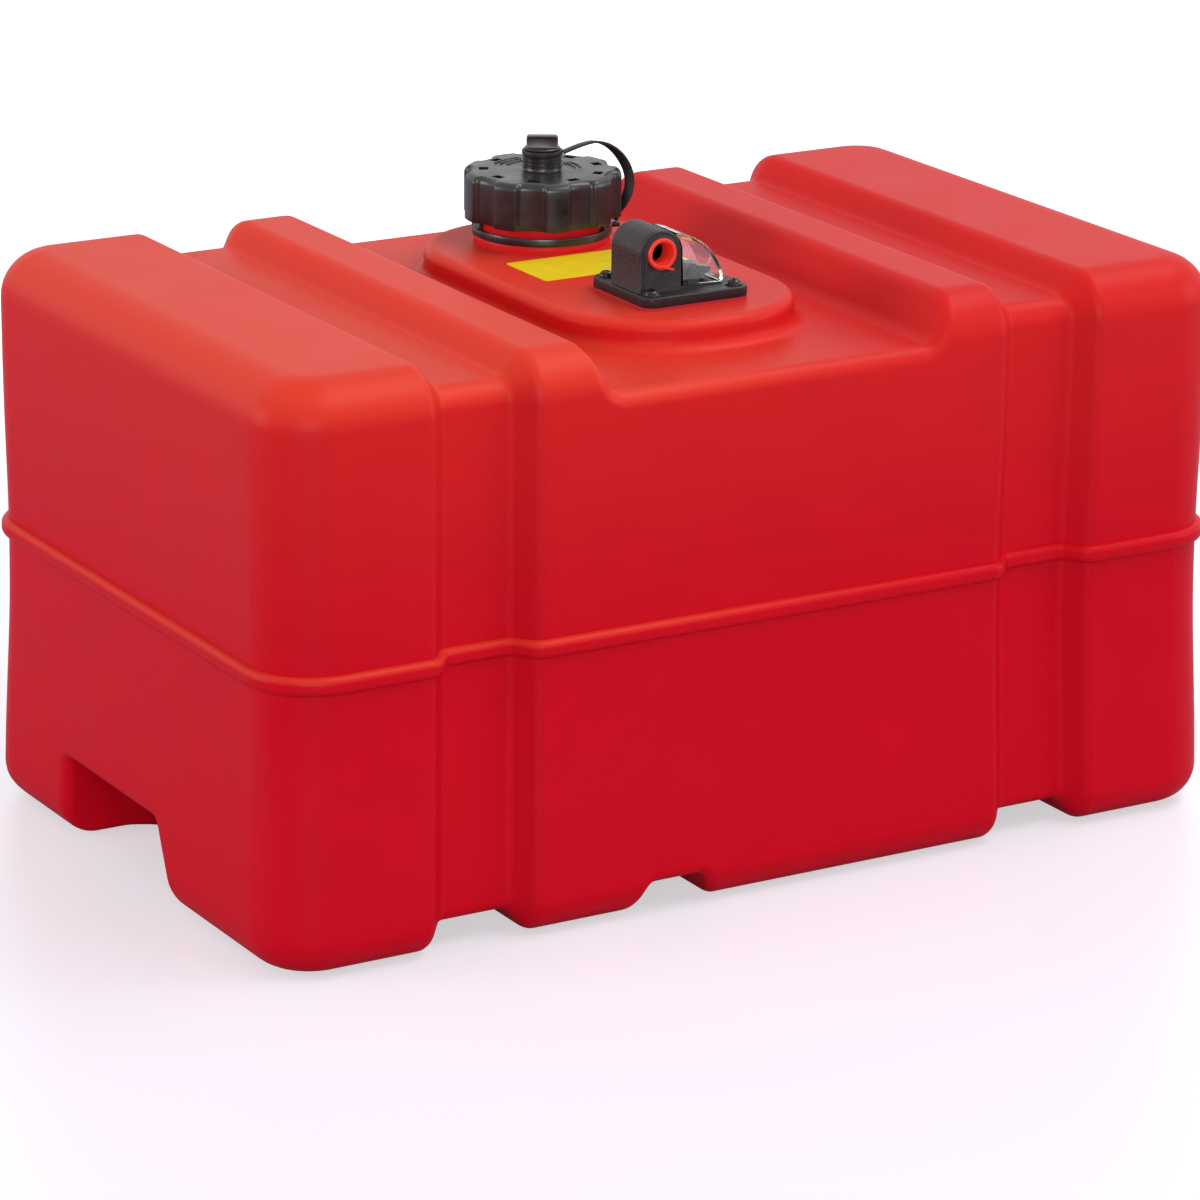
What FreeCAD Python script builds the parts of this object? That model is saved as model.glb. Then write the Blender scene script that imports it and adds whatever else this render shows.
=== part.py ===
import FreeCAD, Part
import math
import os
from FreeCAD import Vector

# Portable outboard fuel tank: a blow-moulded tank with a screw cap on a tether,
# a direct-sight gauge with its float, and a pickup tube below a guarded port.
# Millimetres. The origin is on the floor under the middle of the tank.
# X runs along the tank, Y across it and Z up. The port faces -Y.

# ---- Tank body
body_length = 584.0
body_width = 356.0
body_height = 312.0
wall = 4.0
upright_edge_radius = 35.0
top_edge_radius = 26.0
bottom_edge_radius = 20.0
least_radius = 2.0

# Two strap grooves run over the top, down the sides and under the tank.
groove_centre_x = 173.0
groove_floor_width = 40.0
groove_depth = 13.5
groove_flank_run = 10.5
groove_crest_radius = 8.0
groove_root_radius = 7.0
groove_overcut = 4.0
groove_slab_margin = 40.0

# Pocket across the top between two ridges, and the raised pad on its floor.
pocket_floor_width = 196.0
pocket_depth = 25.0
pocket_flank_run = 12.0
pocket_root_radius = 10.0
pocket_crest_radius = 9.0
pad_width = 142.0
pad_length = 250.0
pad_height = 16.5
pad_end_radius = 64.0
pad_crest_radius = 6.0
pad_root_radius = 7.0

# Bead round the parting line.
bead_middle_height = 157.0
bead_proud = 4.0
bead_thickness = 10.0

# Hand holds under both ends, and the channel under the middle.
hand_hold_height = 46.0
hand_hold_roof_width = 94.0
hand_hold_foot_width = 150.0
hand_hold_roof_reach = 44.0
hand_hold_foot_reach = 56.0
hand_hold_offset_y = 27.0
hand_hold_corner_radius = 20.0
hand_hold_root_radius = 8.0
hand_hold_rim_radius = 6.0
channel_centre_x = -58.0
channel_height = 17.5
channel_roof_width = 32.0
channel_foot_width = 50.0
channel_root_radius = 6.0
channel_rim_radius = 6.0

# ---- Filler neck
filler_y = 70.5
neck_bore_radius = 30.5
neck_wall = 5.0
neck_rim_radius = 1.2
neck_step_radius = 38.0
neck_step_height = 2.5

# ---- Filler cap. Its height is set by what it closes on.
cap_radius = 44.0
cap_height = 26.2
cap_foot_gap = 13.8
cap_top_thickness = 3.5
cap_thread_room = 2.8
cap_edge_radius = 3.5
cap_lobes = 9
cap_valley_radius = 14.0
cap_valley_depth = 2.4
cap_valley_turn = 32.0
cap_slot_length = 6.5
cap_slot_width = 5.0
cap_slot_depth = 2.0
cap_slot_margin = 9.0
gasket_thickness = 2.0
gasket_overlap = 1.0
seat_gap = 0.3

# ---- Vent stem and knob on the cap
stem_radius = 10.7
stem_height = 8.3
stem_neck_radius = 8.0
stem_neck_height = 2.6
vent_bore_radius = 4.0
vent_running_gap = 0.08
vent_hole_radius = 1.5
vent_seal_thickness = 1.2
vent_seal_gap = 0.1
knob_flange_radius = 10.0
knob_flange_thickness = 1.3
knob_wing_length = 17.5
knob_wing_thickness = 6.5
knob_wing_height = 6.3
knob_wing_turn = -30.0
knob_edge_radius = 1.2

# ---- Tether: a ring on the neck, an eye on the stem and the strap between
ring_radius = 39.0
ring_thickness = 2.6
ring_neck_gap = 0.3
ring_lip_height = 1.8
ring_lip_width = 1.2
ring_lug_width = 9.0
ring_lug_height = 7.0
ring_lug_thickness = 2.6
ring_lug_turns = (167.0, -47.0)
ring_tab_length = 6.0
eye_radius = 11.3
eye_gap = 0.3
eye_end_gap = 0.1
strap_width = 5.5
strap_thickness = 1.3
strap_turn = -12.0
strap_gap = 0.3
strap_crest_reach = 29.0
strap_crest_rise = 3.6
strap_shoulder_reach = 43.5
strap_shoulder_drop = 2.0
strap_cap_gap = 8.0
strap_bow_margin = 6.0
strap_foot_rise = 4.0

# ---- Gauge body: base plate, tower with the port, and the lens beside it
gauge_y = -65.0
gauge_hole_radius = 23.0
plate_size = 65.0
plate_thickness = 5.5
plate_corner_radius = 7.0
plate_edge_radius = 0.8
plate_gasket_thickness = 1.5
tower_width = 26.5
tower_height = 33.0
tower_depth = 29.8
tower_right_x = -3.7
tower_front_inset = 12.5
tower_edge_radius = 1.4
arch_step = 3.0
arch_proud = 1.0
port_radius = 6.6
port_mouth_depth = 9.5
port_bore_radius = 5.6
port_depth = 16.0
port_height = 20.5
passage_radius = 2.4
passage_inset = 11.2
passage_shift = 3.0

# ---- Screws that hold the gauge body
screw_edge_distance = 7.0
screw_shank_radius = 2.3
screw_hole_gap = 0.4
screw_pilot_gap = 0.1
screw_head_radius = 4.2
screw_head_height = 2.8
screw_head_edge_radius = 1.2
screw_recess_radius = 1.9
screw_recess_depth = 1.2
screw_reach = 9.0
boss_radius = 6.5
boss_depth = 12.0

# ---- Gauge lens
lens_radius = 44.0
lens_set_in = 14.8
lens_drop = 13.0
lens_lap = 3.3
lens_tower_gap = 0.1
lens_front_inset = 0.5
lens_depth = 24.5
lens_corner_reach = 26.0
lens_bulge = 0.8
lens_wall = 1.8
lens_seal_thickness = 0.8
lens_edge_radius = 1.0

# ---- Pointer, arm and float, turning on one pin
pivot_x = 5.0
pivot_height = 6.0
pin_radius = 1.25
pin_running_gap = 0.05
hub_radius = 5.5
hub_side_gap = 0.4
ear_thickness = 1.8
ear_radius = 3.6
ear_lens_gap = 0.4
pointer_length = 12.0
pointer_thickness = 8.0
pointer_rise = 8.0
pointer_tip_width = 1.6
slot_left = 10.5
slot_right = 12.5
arm_radius = 1.5
arm_inset_y = 2.2
arm_stub_angle = -125.0
arm_stub_length = 38.0
arm_bend_radius = 8.0
float_angle = -86.0
float_distance = 244.0
float_radius = 17.0
float_length = 56.0
float_edge_radius = 4.0
float_bore_gap = 0.05
clip_radius = 5.0
clip_thickness = 1.2
arm_tail = 3.0

# ---- Pickup tube and strainer
spigot_radius = 3.5
spigot_length = 14.0
tube_gap = 0.1
tube_radius = 5.0
tube_end_height = 16.0
strainer_radius = 8.0
strainer_wall = 1.3
strainer_height = 34.0
strainer_floor_gap = 3.0
strainer_windows = 6
strainer_window_width = 4.2
strainer_window_height = 18.0

# ---- Port guard
guard_flange_radius = 9.0
guard_flange_thickness = 1.6
guard_gap = 0.15
guard_length = 8.0
guard_wall = 1.3
guard_tab_length = 4.5
guard_tab_width = 2.6
guard_tab_angle = -38.0

# ---- Blank sticker on the pad
sticker_left_x = -46.0
sticker_right_x = 47.0
sticker_front_y = -14.0
sticker_back_y = 30.0
sticker_thickness = 0.3
sticker_corner_radius = 2.0

# ---- Heights and places that follow from the sizes above
pad_top = body_height - pocket_depth + pad_height
neck_outer_radius = neck_bore_radius + neck_wall
ring_seat = pad_top + neck_step_height
cap_foot = pad_top + cap_foot_gap
cap_top = cap_foot + cap_height
cap_ceiling = cap_top - cap_top_thickness
neck_rim = cap_ceiling - gasket_thickness - seat_gap
stem_shoulder = cap_top + stem_height
stem_top = stem_shoulder + stem_neck_height
plate_bottom = pad_top + plate_gasket_thickness
plate_top = plate_bottom + plate_thickness
screw_spacing = plate_size - 2 * screw_edge_distance
tower_front_y = tower_front_inset - plate_size / 2
port_x = tower_right_x - tower_width / 2
passage_x = port_x + passage_shift
port_z = plate_top + port_height
passage_y = gauge_y + tower_front_y + passage_inset
lens_foot = plate_top + lens_seal_thickness
lens_front_y = tower_front_y + lens_front_inset
lens_back_y = lens_front_y + lens_depth
pivot_z = plate_top + pivot_height
lens_inner_front = lens_front_y + lens_wall
lens_inner_back = lens_back_y - lens_wall
front_ear_y = gauge_y + lens_inner_front + ear_lens_gap
back_ear_y = gauge_y + lens_inner_back - ear_lens_gap - ear_thickness
hub_front_y = front_ear_y + ear_thickness + hub_side_gap
hub_back_y = back_ear_y - hub_side_gap
arm_y = hub_back_y - arm_inset_y
gauge_centre = Vector(0, gauge_y, 0)
filler_centre = Vector(0, filler_y, 0)
up = Vector(0, 0, 1)
across = Vector(0, 1, 0)


# ---- Small helpers

def polar(angle, radius, height=0.0):
    turn = math.radians(angle)
    return Vector(radius * math.cos(turn), radius * math.sin(turn), height)


def in_plane_xz(angle, radius):
    turn = math.radians(angle)
    return Vector(radius * math.cos(turn), 0, radius * math.sin(turn))


def rounded_wire(points, radii):
    """Closed outline through the points, each corner rounded by its own radius."""
    edges = []
    starts = []
    ends = []
    arcs = []
    count = len(points)
    for i in range(count):
        corner = points[i]
        to_last = (points[i - 1] - corner).normalize()
        to_next = (points[(i + 1) % count] - corner).normalize()
        half_angle = to_last.getAngle(to_next) / 2
        if radii[i] <= 0:
            starts.append(corner)
            ends.append(corner)
            arcs.append(None)
            continue
        tangent = radii[i] / math.tan(half_angle)
        inward = (to_last + to_next).normalize()
        middle = corner + inward * (radii[i] / math.sin(half_angle) - radii[i])
        starts.append(corner + to_last * tangent)
        ends.append(corner + to_next * tangent)
        arcs.append(Part.Arc(starts[i], middle, ends[i]).toShape())
    for i in range(count):
        if arcs[i] is not None:
            edges.append(arcs[i])
        begin = ends[i]
        finish = starts[(i + 1) % count]
        if (finish - begin).Length > 1e-6:
            edges.append(Part.LineSegment(begin, finish).toShape())
    return Part.Wire(edges)


def rounded_plate(x_size, y_size, radius, low, high, centre=Vector(0, 0, 0)):
    """Upright prism on a rounded rectangle."""
    half_x = x_size / 2
    half_y = y_size / 2
    points = [Vector(-half_x, -half_y, low), Vector(half_x, -half_y, low),
              Vector(half_x, half_y, low), Vector(-half_x, half_y, low)]
    wire = rounded_wire(points, [radius] * 4)
    prism = Part.Face(wire).extrude(Vector(0, 0, high - low))
    prism.translate(centre)
    return prism


def cylinder(radius, low, high, centre=Vector(0, 0, 0)):
    return Part.makeCylinder(radius, high - low, centre + Vector(0, 0, low), up)


def tube(outer, inner, low, high, centre=Vector(0, 0, 0)):
    return cylinder(outer, low, high, centre).cut(cylinder(inner, low - 1, high + 1, centre))


def rod_along_y(radius, begin_y, end_y, x, z):
    return Part.makeCylinder(radius, end_y - begin_y, Vector(x, begin_y, z), across)


def along(edge, share):
    first = edge.FirstParameter
    return edge.valueAt(first + (edge.LastParameter - first) * share)


def sharp_edges(shape, wanted):
    """Edges where two faces meet at an angle and every tested point is wanted."""
    found = []
    for edge in shape.Edges:
        if edge.Length < 1e-4 or not all(wanted(along(edge, k / 4)) for k in range(5)):
            continue
        faces = shape.ancestorsOfType(edge, Part.Face)
        if len(faces) < 2:
            continue
        middle = along(edge, 0.5)
        first = faces[0].normalAt(*faces[0].Surface.parameter(middle))
        second = faces[1].normalAt(*faces[1].Surface.parameter(middle))
        if first.getAngle(second) > 0.1:
            found.append(edge)
    return found


def near(value, target, within=0.05):
    return abs(value - target) < within


# ---- Tank

def body_blank(half_length, half_width, low, high, inset):
    blank = Part.makeBox(2 * half_length, 2 * half_width, high - low,
                         Vector(-half_length, -half_width, low))
    upright = sharp_edges(blank, lambda p: near(abs(p.x), half_length) and near(abs(p.y), half_width))
    blank = blank.makeFillet(upright_edge_radius - inset, upright)
    blank = blank.makeFillet(top_edge_radius - inset, sharp_edges(blank, lambda p: near(p.z, high)))
    return blank.makeFillet(bottom_edge_radius - inset, sharp_edges(blank, lambda p: near(p.z, low)))


def girth(x, half_width, low, high, shrink, inset):
    """Cross-section of the tank at x, drawn in by shrink on every side."""
    points = [Vector(x, -half_width + shrink, low + shrink), Vector(x, half_width - shrink, low + shrink),
              Vector(x, half_width - shrink, high - shrink), Vector(x, -half_width + shrink, high - shrink)]
    foot = max(bottom_edge_radius - inset - shrink, least_radius)
    crown = max(top_edge_radius - inset - shrink, least_radius)
    return rounded_wire(points, [foot, foot, crown, crown])


def cut_groove(body, centre_x, half_width, low, high, inset, fine):
    """Take one strap groove out of the whole girth, then round its crests and roots."""
    slope = groove_flank_run / groove_depth
    half_floor = groove_floor_width / 2 + inset * (math.hypot(1, slope) - slope)
    half_mouth = half_floor + groove_flank_run
    reach = half_mouth + groove_overcut * slope
    stations = ((-reach, -groove_overcut), (-half_floor, groove_depth),
                (half_floor, groove_depth), (reach, -groove_overcut))
    spool = Part.makeLoft([girth(centre_x + dx, half_width, low, high, shrink, inset)
                           for dx, shrink in stations], True, True)
    slab = Part.makeBox(2 * reach, 2 * (half_width + groove_slab_margin), high - low + 2 * groove_slab_margin,
                        Vector(centre_x - reach, -half_width - groove_slab_margin, low - groove_slab_margin))
    body = body.cut(slab.cut(spool))
    if not fine:
        return body

    def on_root(p):
        return near(abs(p.x - centre_x), half_floor)

    def on_crest(p):
        return near(abs(p.x - centre_x), half_mouth)

    body = body.makeFillet(groove_root_radius, sharp_edges(body, on_root))
    return body.makeFillet(groove_crest_radius, sharp_edges(body, on_crest))


def cut_pocket(body, half_width, high, inset):
    """Pocket across the top, open at both sides, with a rounded lip and crests."""
    floor = high - pocket_depth
    slope = pocket_flank_run / pocket_depth
    half_floor = pocket_floor_width / 2 + inset * (math.hypot(1, slope) - slope)
    half_mouth = half_floor + pocket_flank_run
    past = 20.0
    points = [Vector(-half_mouth - past * slope, -half_width - past, high + past),
              Vector(-half_floor, -half_width - past, floor),
              Vector(half_floor, -half_width - past, floor),
              Vector(half_mouth + past * slope, -half_width - past, high + past)]
    root = pocket_root_radius + inset
    wire = rounded_wire(points, [0, root, root, 0])
    prism = Part.Face(wire).extrude(Vector(0, 2 * (half_width + past), 0))
    body = body.cut(prism)

    def on_rim(p):
        return abs(p.x) < half_mouth + 0.5 and p.z > floor - 0.5

    return body.makeFillet(pocket_crest_radius - inset, sharp_edges(body, on_rim))


def add_pad(body, high, inset, fine):
    floor = high - pocket_depth
    top = floor + pad_height
    pad = rounded_plate(pad_width - 2 * inset, pad_length - 2 * inset, pad_end_radius - inset,
                        floor - 2 * wall, top)
    if fine:
        pad = pad.makeFillet(pad_crest_radius, sharp_edges(pad, lambda p: near(p.z, top)))
    body = body.fuse(pad).removeSplitter()
    if not fine:
        return body

    def on_foot(p):
        return near(p.z, floor) and abs(p.x) < pad_width / 2 + 1 and abs(p.y) < pad_length / 2 + 1

    return body.makeFillet(pad_root_radius, sharp_edges(body, on_foot))


def hand_hold_cutter(end_x, low, inset):
    """Recess for the fingers, centred on the end face and narrower at its roof."""
    past = 10.0
    width_slope = (hand_hold_foot_width - hand_hold_roof_width) / hand_hold_height
    reach_slope = (hand_hold_foot_reach - hand_hold_roof_reach) / hand_hold_height

    def station(drop):
        half_wide = (hand_hold_roof_width + width_slope * drop) / 2 + inset
        reach = hand_hold_roof_reach + reach_slope * drop + inset
        z = low + hand_hold_height - drop
        corners = [Vector(end_x - reach, hand_hold_offset_y - half_wide, z),
                   Vector(end_x + reach, hand_hold_offset_y - half_wide, z),
                   Vector(end_x + reach, hand_hold_offset_y + half_wide, z),
                   Vector(end_x - reach, hand_hold_offset_y + half_wide, z)]
        return rounded_wire(corners, [hand_hold_corner_radius + inset] * 4)

    return Part.makeLoft([station(hand_hold_height + past), station(0.0)], True, True)


def cut_hand_hold(body, end_x, low, inset, fine):
    """Cut the recess at one end and round its rim over the end face and the foot."""
    cutter = hand_hold_cutter(end_x, low, inset)
    if not fine:
        return body.cut(cutter)
    roof = sharp_edges(cutter, lambda p: near(p.z, low + hand_hold_height))
    body = body.cut(cutter.makeFillet(hand_hold_root_radius, roof))

    def on_rim(p):
        beside = abs(p.y - hand_hold_offset_y) < hand_hold_foot_width / 2 + 1
        within = abs(p.x - end_x) < hand_hold_foot_reach + 1
        return beside and within and p.z < low + hand_hold_height + 1

    return body.makeFillet(hand_hold_rim_radius, sharp_edges(body, on_rim))


def cut_channel(body, half_width, low, inset, fine):
    """Cut the channel under the middle and round its rim."""
    past = 10.0
    half_roof = channel_roof_width / 2 + inset
    half_foot = channel_foot_width / 2 + inset
    root = channel_root_radius + inset
    half_wide = half_foot + past * (half_foot - half_roof) / channel_height
    corners = [(-half_wide, -past), (half_wide, -past), (half_roof, channel_height),
               (-half_roof, channel_height)]
    points = [Vector(channel_centre_x + dx, -half_width - past, low + dz) for dx, dz in corners]
    wire = rounded_wire(points, [0, 0, root, root])
    body = body.cut(Part.Face(wire).extrude(Vector(0, 2 * (half_width + past), 0)))
    if not fine:
        return body

    def on_rim(p):
        return abs(p.x - channel_centre_x) < half_foot + 1 and p.z < low + channel_height + 1

    return body.makeFillet(channel_rim_radius, sharp_edges(body, on_rim))


def tank_form(inset, fine):
    """Solid form of the tank, drawn in by inset. The fine one has its small edges rounded."""
    half_length = body_length / 2 - inset
    half_width = body_width / 2 - inset
    low = inset
    high = body_height - inset
    form = body_blank(half_length, half_width, low, high, inset)
    for side in (-1, 1):
        form = cut_groove(form, side * groove_centre_x, half_width, low, high, inset, fine)
    form = cut_pocket(form, half_width, high, inset)
    form = add_pad(form, high, inset, fine)
    for side in (-1, 1):
        form = cut_hand_hold(form, side * half_length, low, inset, fine)
    return cut_channel(form, half_width, low, inset, fine)


def parting_bead(form):
    """Round bead that follows the outline of the form at the parting line."""
    outline = form.slice(up, bead_middle_height)[0]
    face = Part.Face(outline).makeOffset2D(bead_proud)
    face.translate(Vector(0, 0, -bead_thickness / 2))
    bead = face.extrude(Vector(0, 0, bead_thickness))
    low = bead_middle_height - bead_thickness / 2
    high = bead_middle_height + bead_thickness / 2
    rims = sharp_edges(bead, lambda p: near(p.z, low) or near(p.z, high))
    return bead.makeFillet(bead_proud - 0.1, rims)


def screw_places():
    half = screw_spacing / 2
    return [gauge_centre + Vector(x, y, 0) for x in (-half, half) for y in (-half, half)]


def make_tank_shell():
    outer = tank_form(0.0, True)
    bead = parting_bead(outer)
    cavity = tank_form(wall, False)
    neck = cylinder(neck_outer_radius, pad_top - wall, neck_rim, filler_centre)
    neck = neck.makeFillet(neck_rim_radius, sharp_edges(neck, lambda p: near(p.z, neck_rim)))
    neck = neck.fuse(cylinder(neck_step_radius, pad_top - wall, ring_seat, filler_centre))
    shell = outer.fuse(bead).fuse(neck).cut(cavity)
    ceiling = pad_top - wall
    for place in screw_places():
        shell = shell.fuse(cylinder(boss_radius, pad_top - boss_depth, ceiling + wall / 2, place))
    for place in screw_places():
        pilot = screw_shank_radius + screw_pilot_gap
        shell = shell.cut(cylinder(pilot, pad_top - screw_reach - 1, pad_top + 1, place))
    shell = shell.cut(cylinder(neck_bore_radius, ceiling - pad_root_radius, neck_rim + 1, filler_centre))
    return shell.cut(cylinder(gauge_hole_radius, ceiling - boss_depth, pad_top + 1, gauge_centre))


# ---- Cap, vent and tether

def make_filler_cap():
    inner_radius = neck_outer_radius + cap_thread_room
    cap = cylinder(cap_radius, cap_foot, cap_top)
    cap = cap.makeFillet(cap_edge_radius, sharp_edges(cap, lambda p: near(p.z, cap_top)))
    valley_centre = cap_radius + cap_valley_radius - cap_valley_depth
    for k in range(cap_lobes):
        turn = cap_valley_turn + 360.0 * k / cap_lobes
        cap = cap.cut(cylinder(cap_valley_radius, cap_foot - 1, cap_top + 1, polar(turn, valley_centre)))
        cap = cap.cut(cap_slot(turn))
    stem = cylinder(stem_radius, cap_top - 1, stem_shoulder)
    stem = stem.fuse(cylinder(stem_neck_radius, stem_shoulder - 1, stem_top))
    cap = cap.fuse(stem).removeSplitter()
    cap = cap.cut(cylinder(inner_radius, cap_foot - 1, cap_ceiling))
    cap = cap.cut(cylinder(vent_bore_radius, cap_top, stem_top + 1))
    cap = cap.cut(cylinder(vent_hole_radius, cap_ceiling - 1, cap_top + 1))
    cap.translate(filler_centre)
    return cap


def cap_slot(turn):
    """Small pocket in the top, inside one valley."""
    slot = Part.makeBox(cap_slot_width, cap_slot_length, cap_slot_depth + 1,
                        Vector(cap_radius - cap_slot_margin - cap_slot_width, -cap_slot_length / 2,
                               cap_top - cap_slot_depth))
    slot.rotate(Vector(0, 0, 0), up, turn)
    return slot


def make_cap_gasket():
    outer = neck_outer_radius + gasket_overlap
    inner = neck_bore_radius - gasket_overlap
    return tube(outer, inner, cap_ceiling - gasket_thickness, cap_ceiling, filler_centre)


def make_vent_seal():
    radius = vent_bore_radius - vent_seal_gap
    return tube(radius, vent_hole_radius, cap_top, cap_top + vent_seal_thickness, filler_centre)


def make_vent_knob():
    shank = cylinder(vent_bore_radius - vent_running_gap, cap_top + vent_seal_thickness + vent_running_gap,
                     stem_top + 1)
    foot = stem_top + eye_end_gap
    flange = cylinder(knob_flange_radius, foot, foot + knob_flange_thickness)
    top = foot + knob_flange_thickness + knob_wing_height
    wing = Part.makeBox(knob_wing_length, knob_wing_thickness, knob_wing_height + 0.5,
                        Vector(-knob_wing_length / 2, -knob_wing_thickness / 2, top - knob_wing_height - 0.5))
    wing = wing.makeFillet(knob_edge_radius, sharp_edges(wing, lambda p: p.z > top - 1 or near(
        abs(p.x), knob_wing_length / 2) and near(abs(p.y), knob_wing_thickness / 2)))
    wing.rotate(Vector(0, 0, 0), up, knob_wing_turn)
    knob = shank.fuse(flange).fuse(wing).removeSplitter()
    knob.translate(filler_centre)
    return knob


def make_tether_ring():
    """Flat ring on the neck, with a lip, two lugs and the tab the strap leaves from."""
    inner = neck_outer_radius + ring_neck_gap
    top = ring_seat + ring_thickness
    ring = tube(ring_radius, inner, ring_seat, top)
    ring = ring.fuse(tube(ring_radius, ring_radius - ring_lip_width, ring_seat, top + ring_lip_height))
    for turn in ring_lug_turns:
        lug = Part.makeBox(ring_lug_thickness, ring_lug_width, ring_lug_height,
                           Vector(inner, -ring_lug_width / 2, top - 0.5))
        lug.rotate(Vector(0, 0, 0), up, turn)
        ring = ring.fuse(lug)
    tab = Part.makeBox(ring_tab_length + 2, strap_width, ring_thickness,
                       Vector(ring_radius - 2, -strap_width / 2, ring_seat))
    tab.rotate(Vector(0, 0, 0), up, strap_turn)
    ring = ring.fuse(tab).removeSplitter()
    ring.translate(filler_centre)
    return ring


def make_tether_eye():
    inner = stem_neck_radius + eye_gap
    return tube(eye_radius, inner, stem_shoulder + eye_end_gap, stem_top - eye_end_gap, filler_centre)


def strap_route():
    """Centre line of the strap in the upright plane through the cap, as x out and z up."""
    eye_z = (stem_shoulder + stem_top) / 2
    tab_x = ring_radius + ring_tab_length - strap_thickness / 2
    outside = cap_radius + strap_cap_gap
    tab_top = ring_seat + ring_thickness + strap_gap
    return [Vector(eye_radius + strap_gap, 0, eye_z),
            Vector(strap_crest_reach, 0, eye_z + strap_crest_rise),
            Vector(strap_shoulder_reach, 0, eye_z - strap_shoulder_drop),
            Vector(outside, 0, cap_top - strap_bow_margin),
            Vector(outside, 0, cap_foot + strap_bow_margin),
            Vector(tab_x, 0, tab_top + strap_foot_rise), Vector(tab_x, 0, tab_top)]


def make_tether_strap():
    """Flat strap: a ribbon outline on the route, given its width across the plane."""
    route = strap_route()
    half = strap_thickness / 2
    left = []
    right = []
    for i, point in enumerate(route):
        before = (point - route[i - 1]).normalize() if i > 0 else None
        after = (route[i + 1] - point).normalize() if i < len(route) - 1 else None
        heading = (before or after) + (after or before)
        heading.normalize()
        side = Vector(-heading.z, 0, heading.x)
        spread = half / max(heading.dot(before or after), 0.5)
        left.append(point + side * spread)
        right.append(point - side * spread)
    corners = left + right[::-1]
    bend = strap_thickness * 2.5
    radii = [0] + [bend] * (len(route) - 2) + [0]
    wire = rounded_wire(corners, radii + radii)
    strap = Part.Face(wire).extrude(Vector(0, strap_width, 0))
    strap.translate(Vector(0, -strap_width / 2, 0))
    strap.rotate(Vector(0, 0, 0), up, strap_turn)
    strap.translate(filler_centre)
    return strap


# ---- Gauge

def arch_prism(width, height, begin_y, end_y, centre_x):
    """Prism along Y on an arch outline that stands on the plate."""
    radius = width / 2
    spring = plate_top + height - radius
    left = centre_x - radius
    right = centre_x + radius
    arc = Part.Arc(Vector(right, begin_y, spring), Vector(centre_x, begin_y, spring + radius),
                   Vector(left, begin_y, spring)).toShape()
    foot_left = Vector(left, begin_y, plate_top - 0.5)
    foot_right = Vector(right, begin_y, plate_top - 0.5)
    lines = [Part.LineSegment(Vector(left, begin_y, spring), foot_left).toShape(),
             Part.LineSegment(foot_left, foot_right).toShape(),
             Part.LineSegment(foot_right, Vector(right, begin_y, spring)).toShape()]
    wire = Part.Wire([arc] + lines)
    return Part.Face(wire).extrude(Vector(0, end_y - begin_y, 0))


def gauge_tower():
    front = gauge_y + tower_front_y
    back = front + tower_depth
    tower = arch_prism(tower_width, tower_height, front, back, port_x)
    rims = sharp_edges(tower, lambda p: p.z > plate_top + 0.5 and (near(p.y, front) or near(p.y, back)))
    tower = tower.makeFillet(tower_edge_radius, rims)
    face = arch_prism(tower_width - 2 * arch_step, tower_height - arch_step, front - arch_proud,
                      front + arch_proud, port_x)
    return tower.fuse(face)


def pin_ear(begin_y):
    ear = rod_along_y(ear_radius, begin_y, begin_y + ear_thickness, pivot_x, pivot_z)
    post = Part.makeBox(2 * ear_radius, ear_thickness, pivot_z - plate_top + 0.5,
                        Vector(pivot_x - ear_radius, begin_y, plate_top - 0.5))
    return ear.fuse(post)


def make_gauge_body():
    body = rounded_plate(plate_size, plate_size, plate_corner_radius, plate_bottom, plate_top, gauge_centre)
    body = body.makeFillet(plate_edge_radius, sharp_edges(body, lambda p: near(p.z, plate_top)))
    body = body.fuse(gauge_tower()).fuse(pin_ear(front_ear_y)).fuse(pin_ear(back_ear_y))
    passage = Vector(passage_x, passage_y, 0)
    body = body.fuse(cylinder(spigot_radius, plate_bottom - spigot_length, plate_bottom + 1, passage))
    body = body.removeSplitter()
    port_front = gauge_y + tower_front_y - arch_proud
    body = body.cut(rod_along_y(port_radius, port_front - 1, port_front + port_mouth_depth, port_x, port_z))
    body = body.cut(rod_along_y(port_bore_radius, port_front, gauge_y + tower_front_y + port_depth,
                                port_x, port_z))
    body = body.cut(cylinder(passage_radius, plate_bottom - spigot_length - 1, port_z, passage))
    body = body.cut(rod_along_y(pin_radius, front_ear_y - 1, back_ear_y + ear_thickness + 1,
                                pivot_x, pivot_z))
    slot = Part.makeBox(slot_left + slot_right, back_ear_y - front_ear_y - ear_thickness,
                        plate_thickness + 2,
                        Vector(pivot_x - slot_left, front_ear_y + ear_thickness, plate_bottom - 1))
    body = body.cut(slot)
    for place in screw_places():
        radius = screw_shank_radius + screw_hole_gap
        body = body.cut(cylinder(radius, plate_bottom - 1, plate_top + 1, place))
    return body


def make_gauge_gasket():
    gasket = rounded_plate(plate_size, plate_size, plate_corner_radius, pad_top, plate_bottom, gauge_centre)
    gasket = gasket.cut(cylinder(gauge_hole_radius, pad_top - 1, plate_bottom + 1, gauge_centre))
    for place in screw_places():
        radius = screw_shank_radius + screw_hole_gap
        gasket = gasket.cut(cylinder(radius, pad_top - 1, plate_bottom + 1, place))
    return gasket


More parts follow.
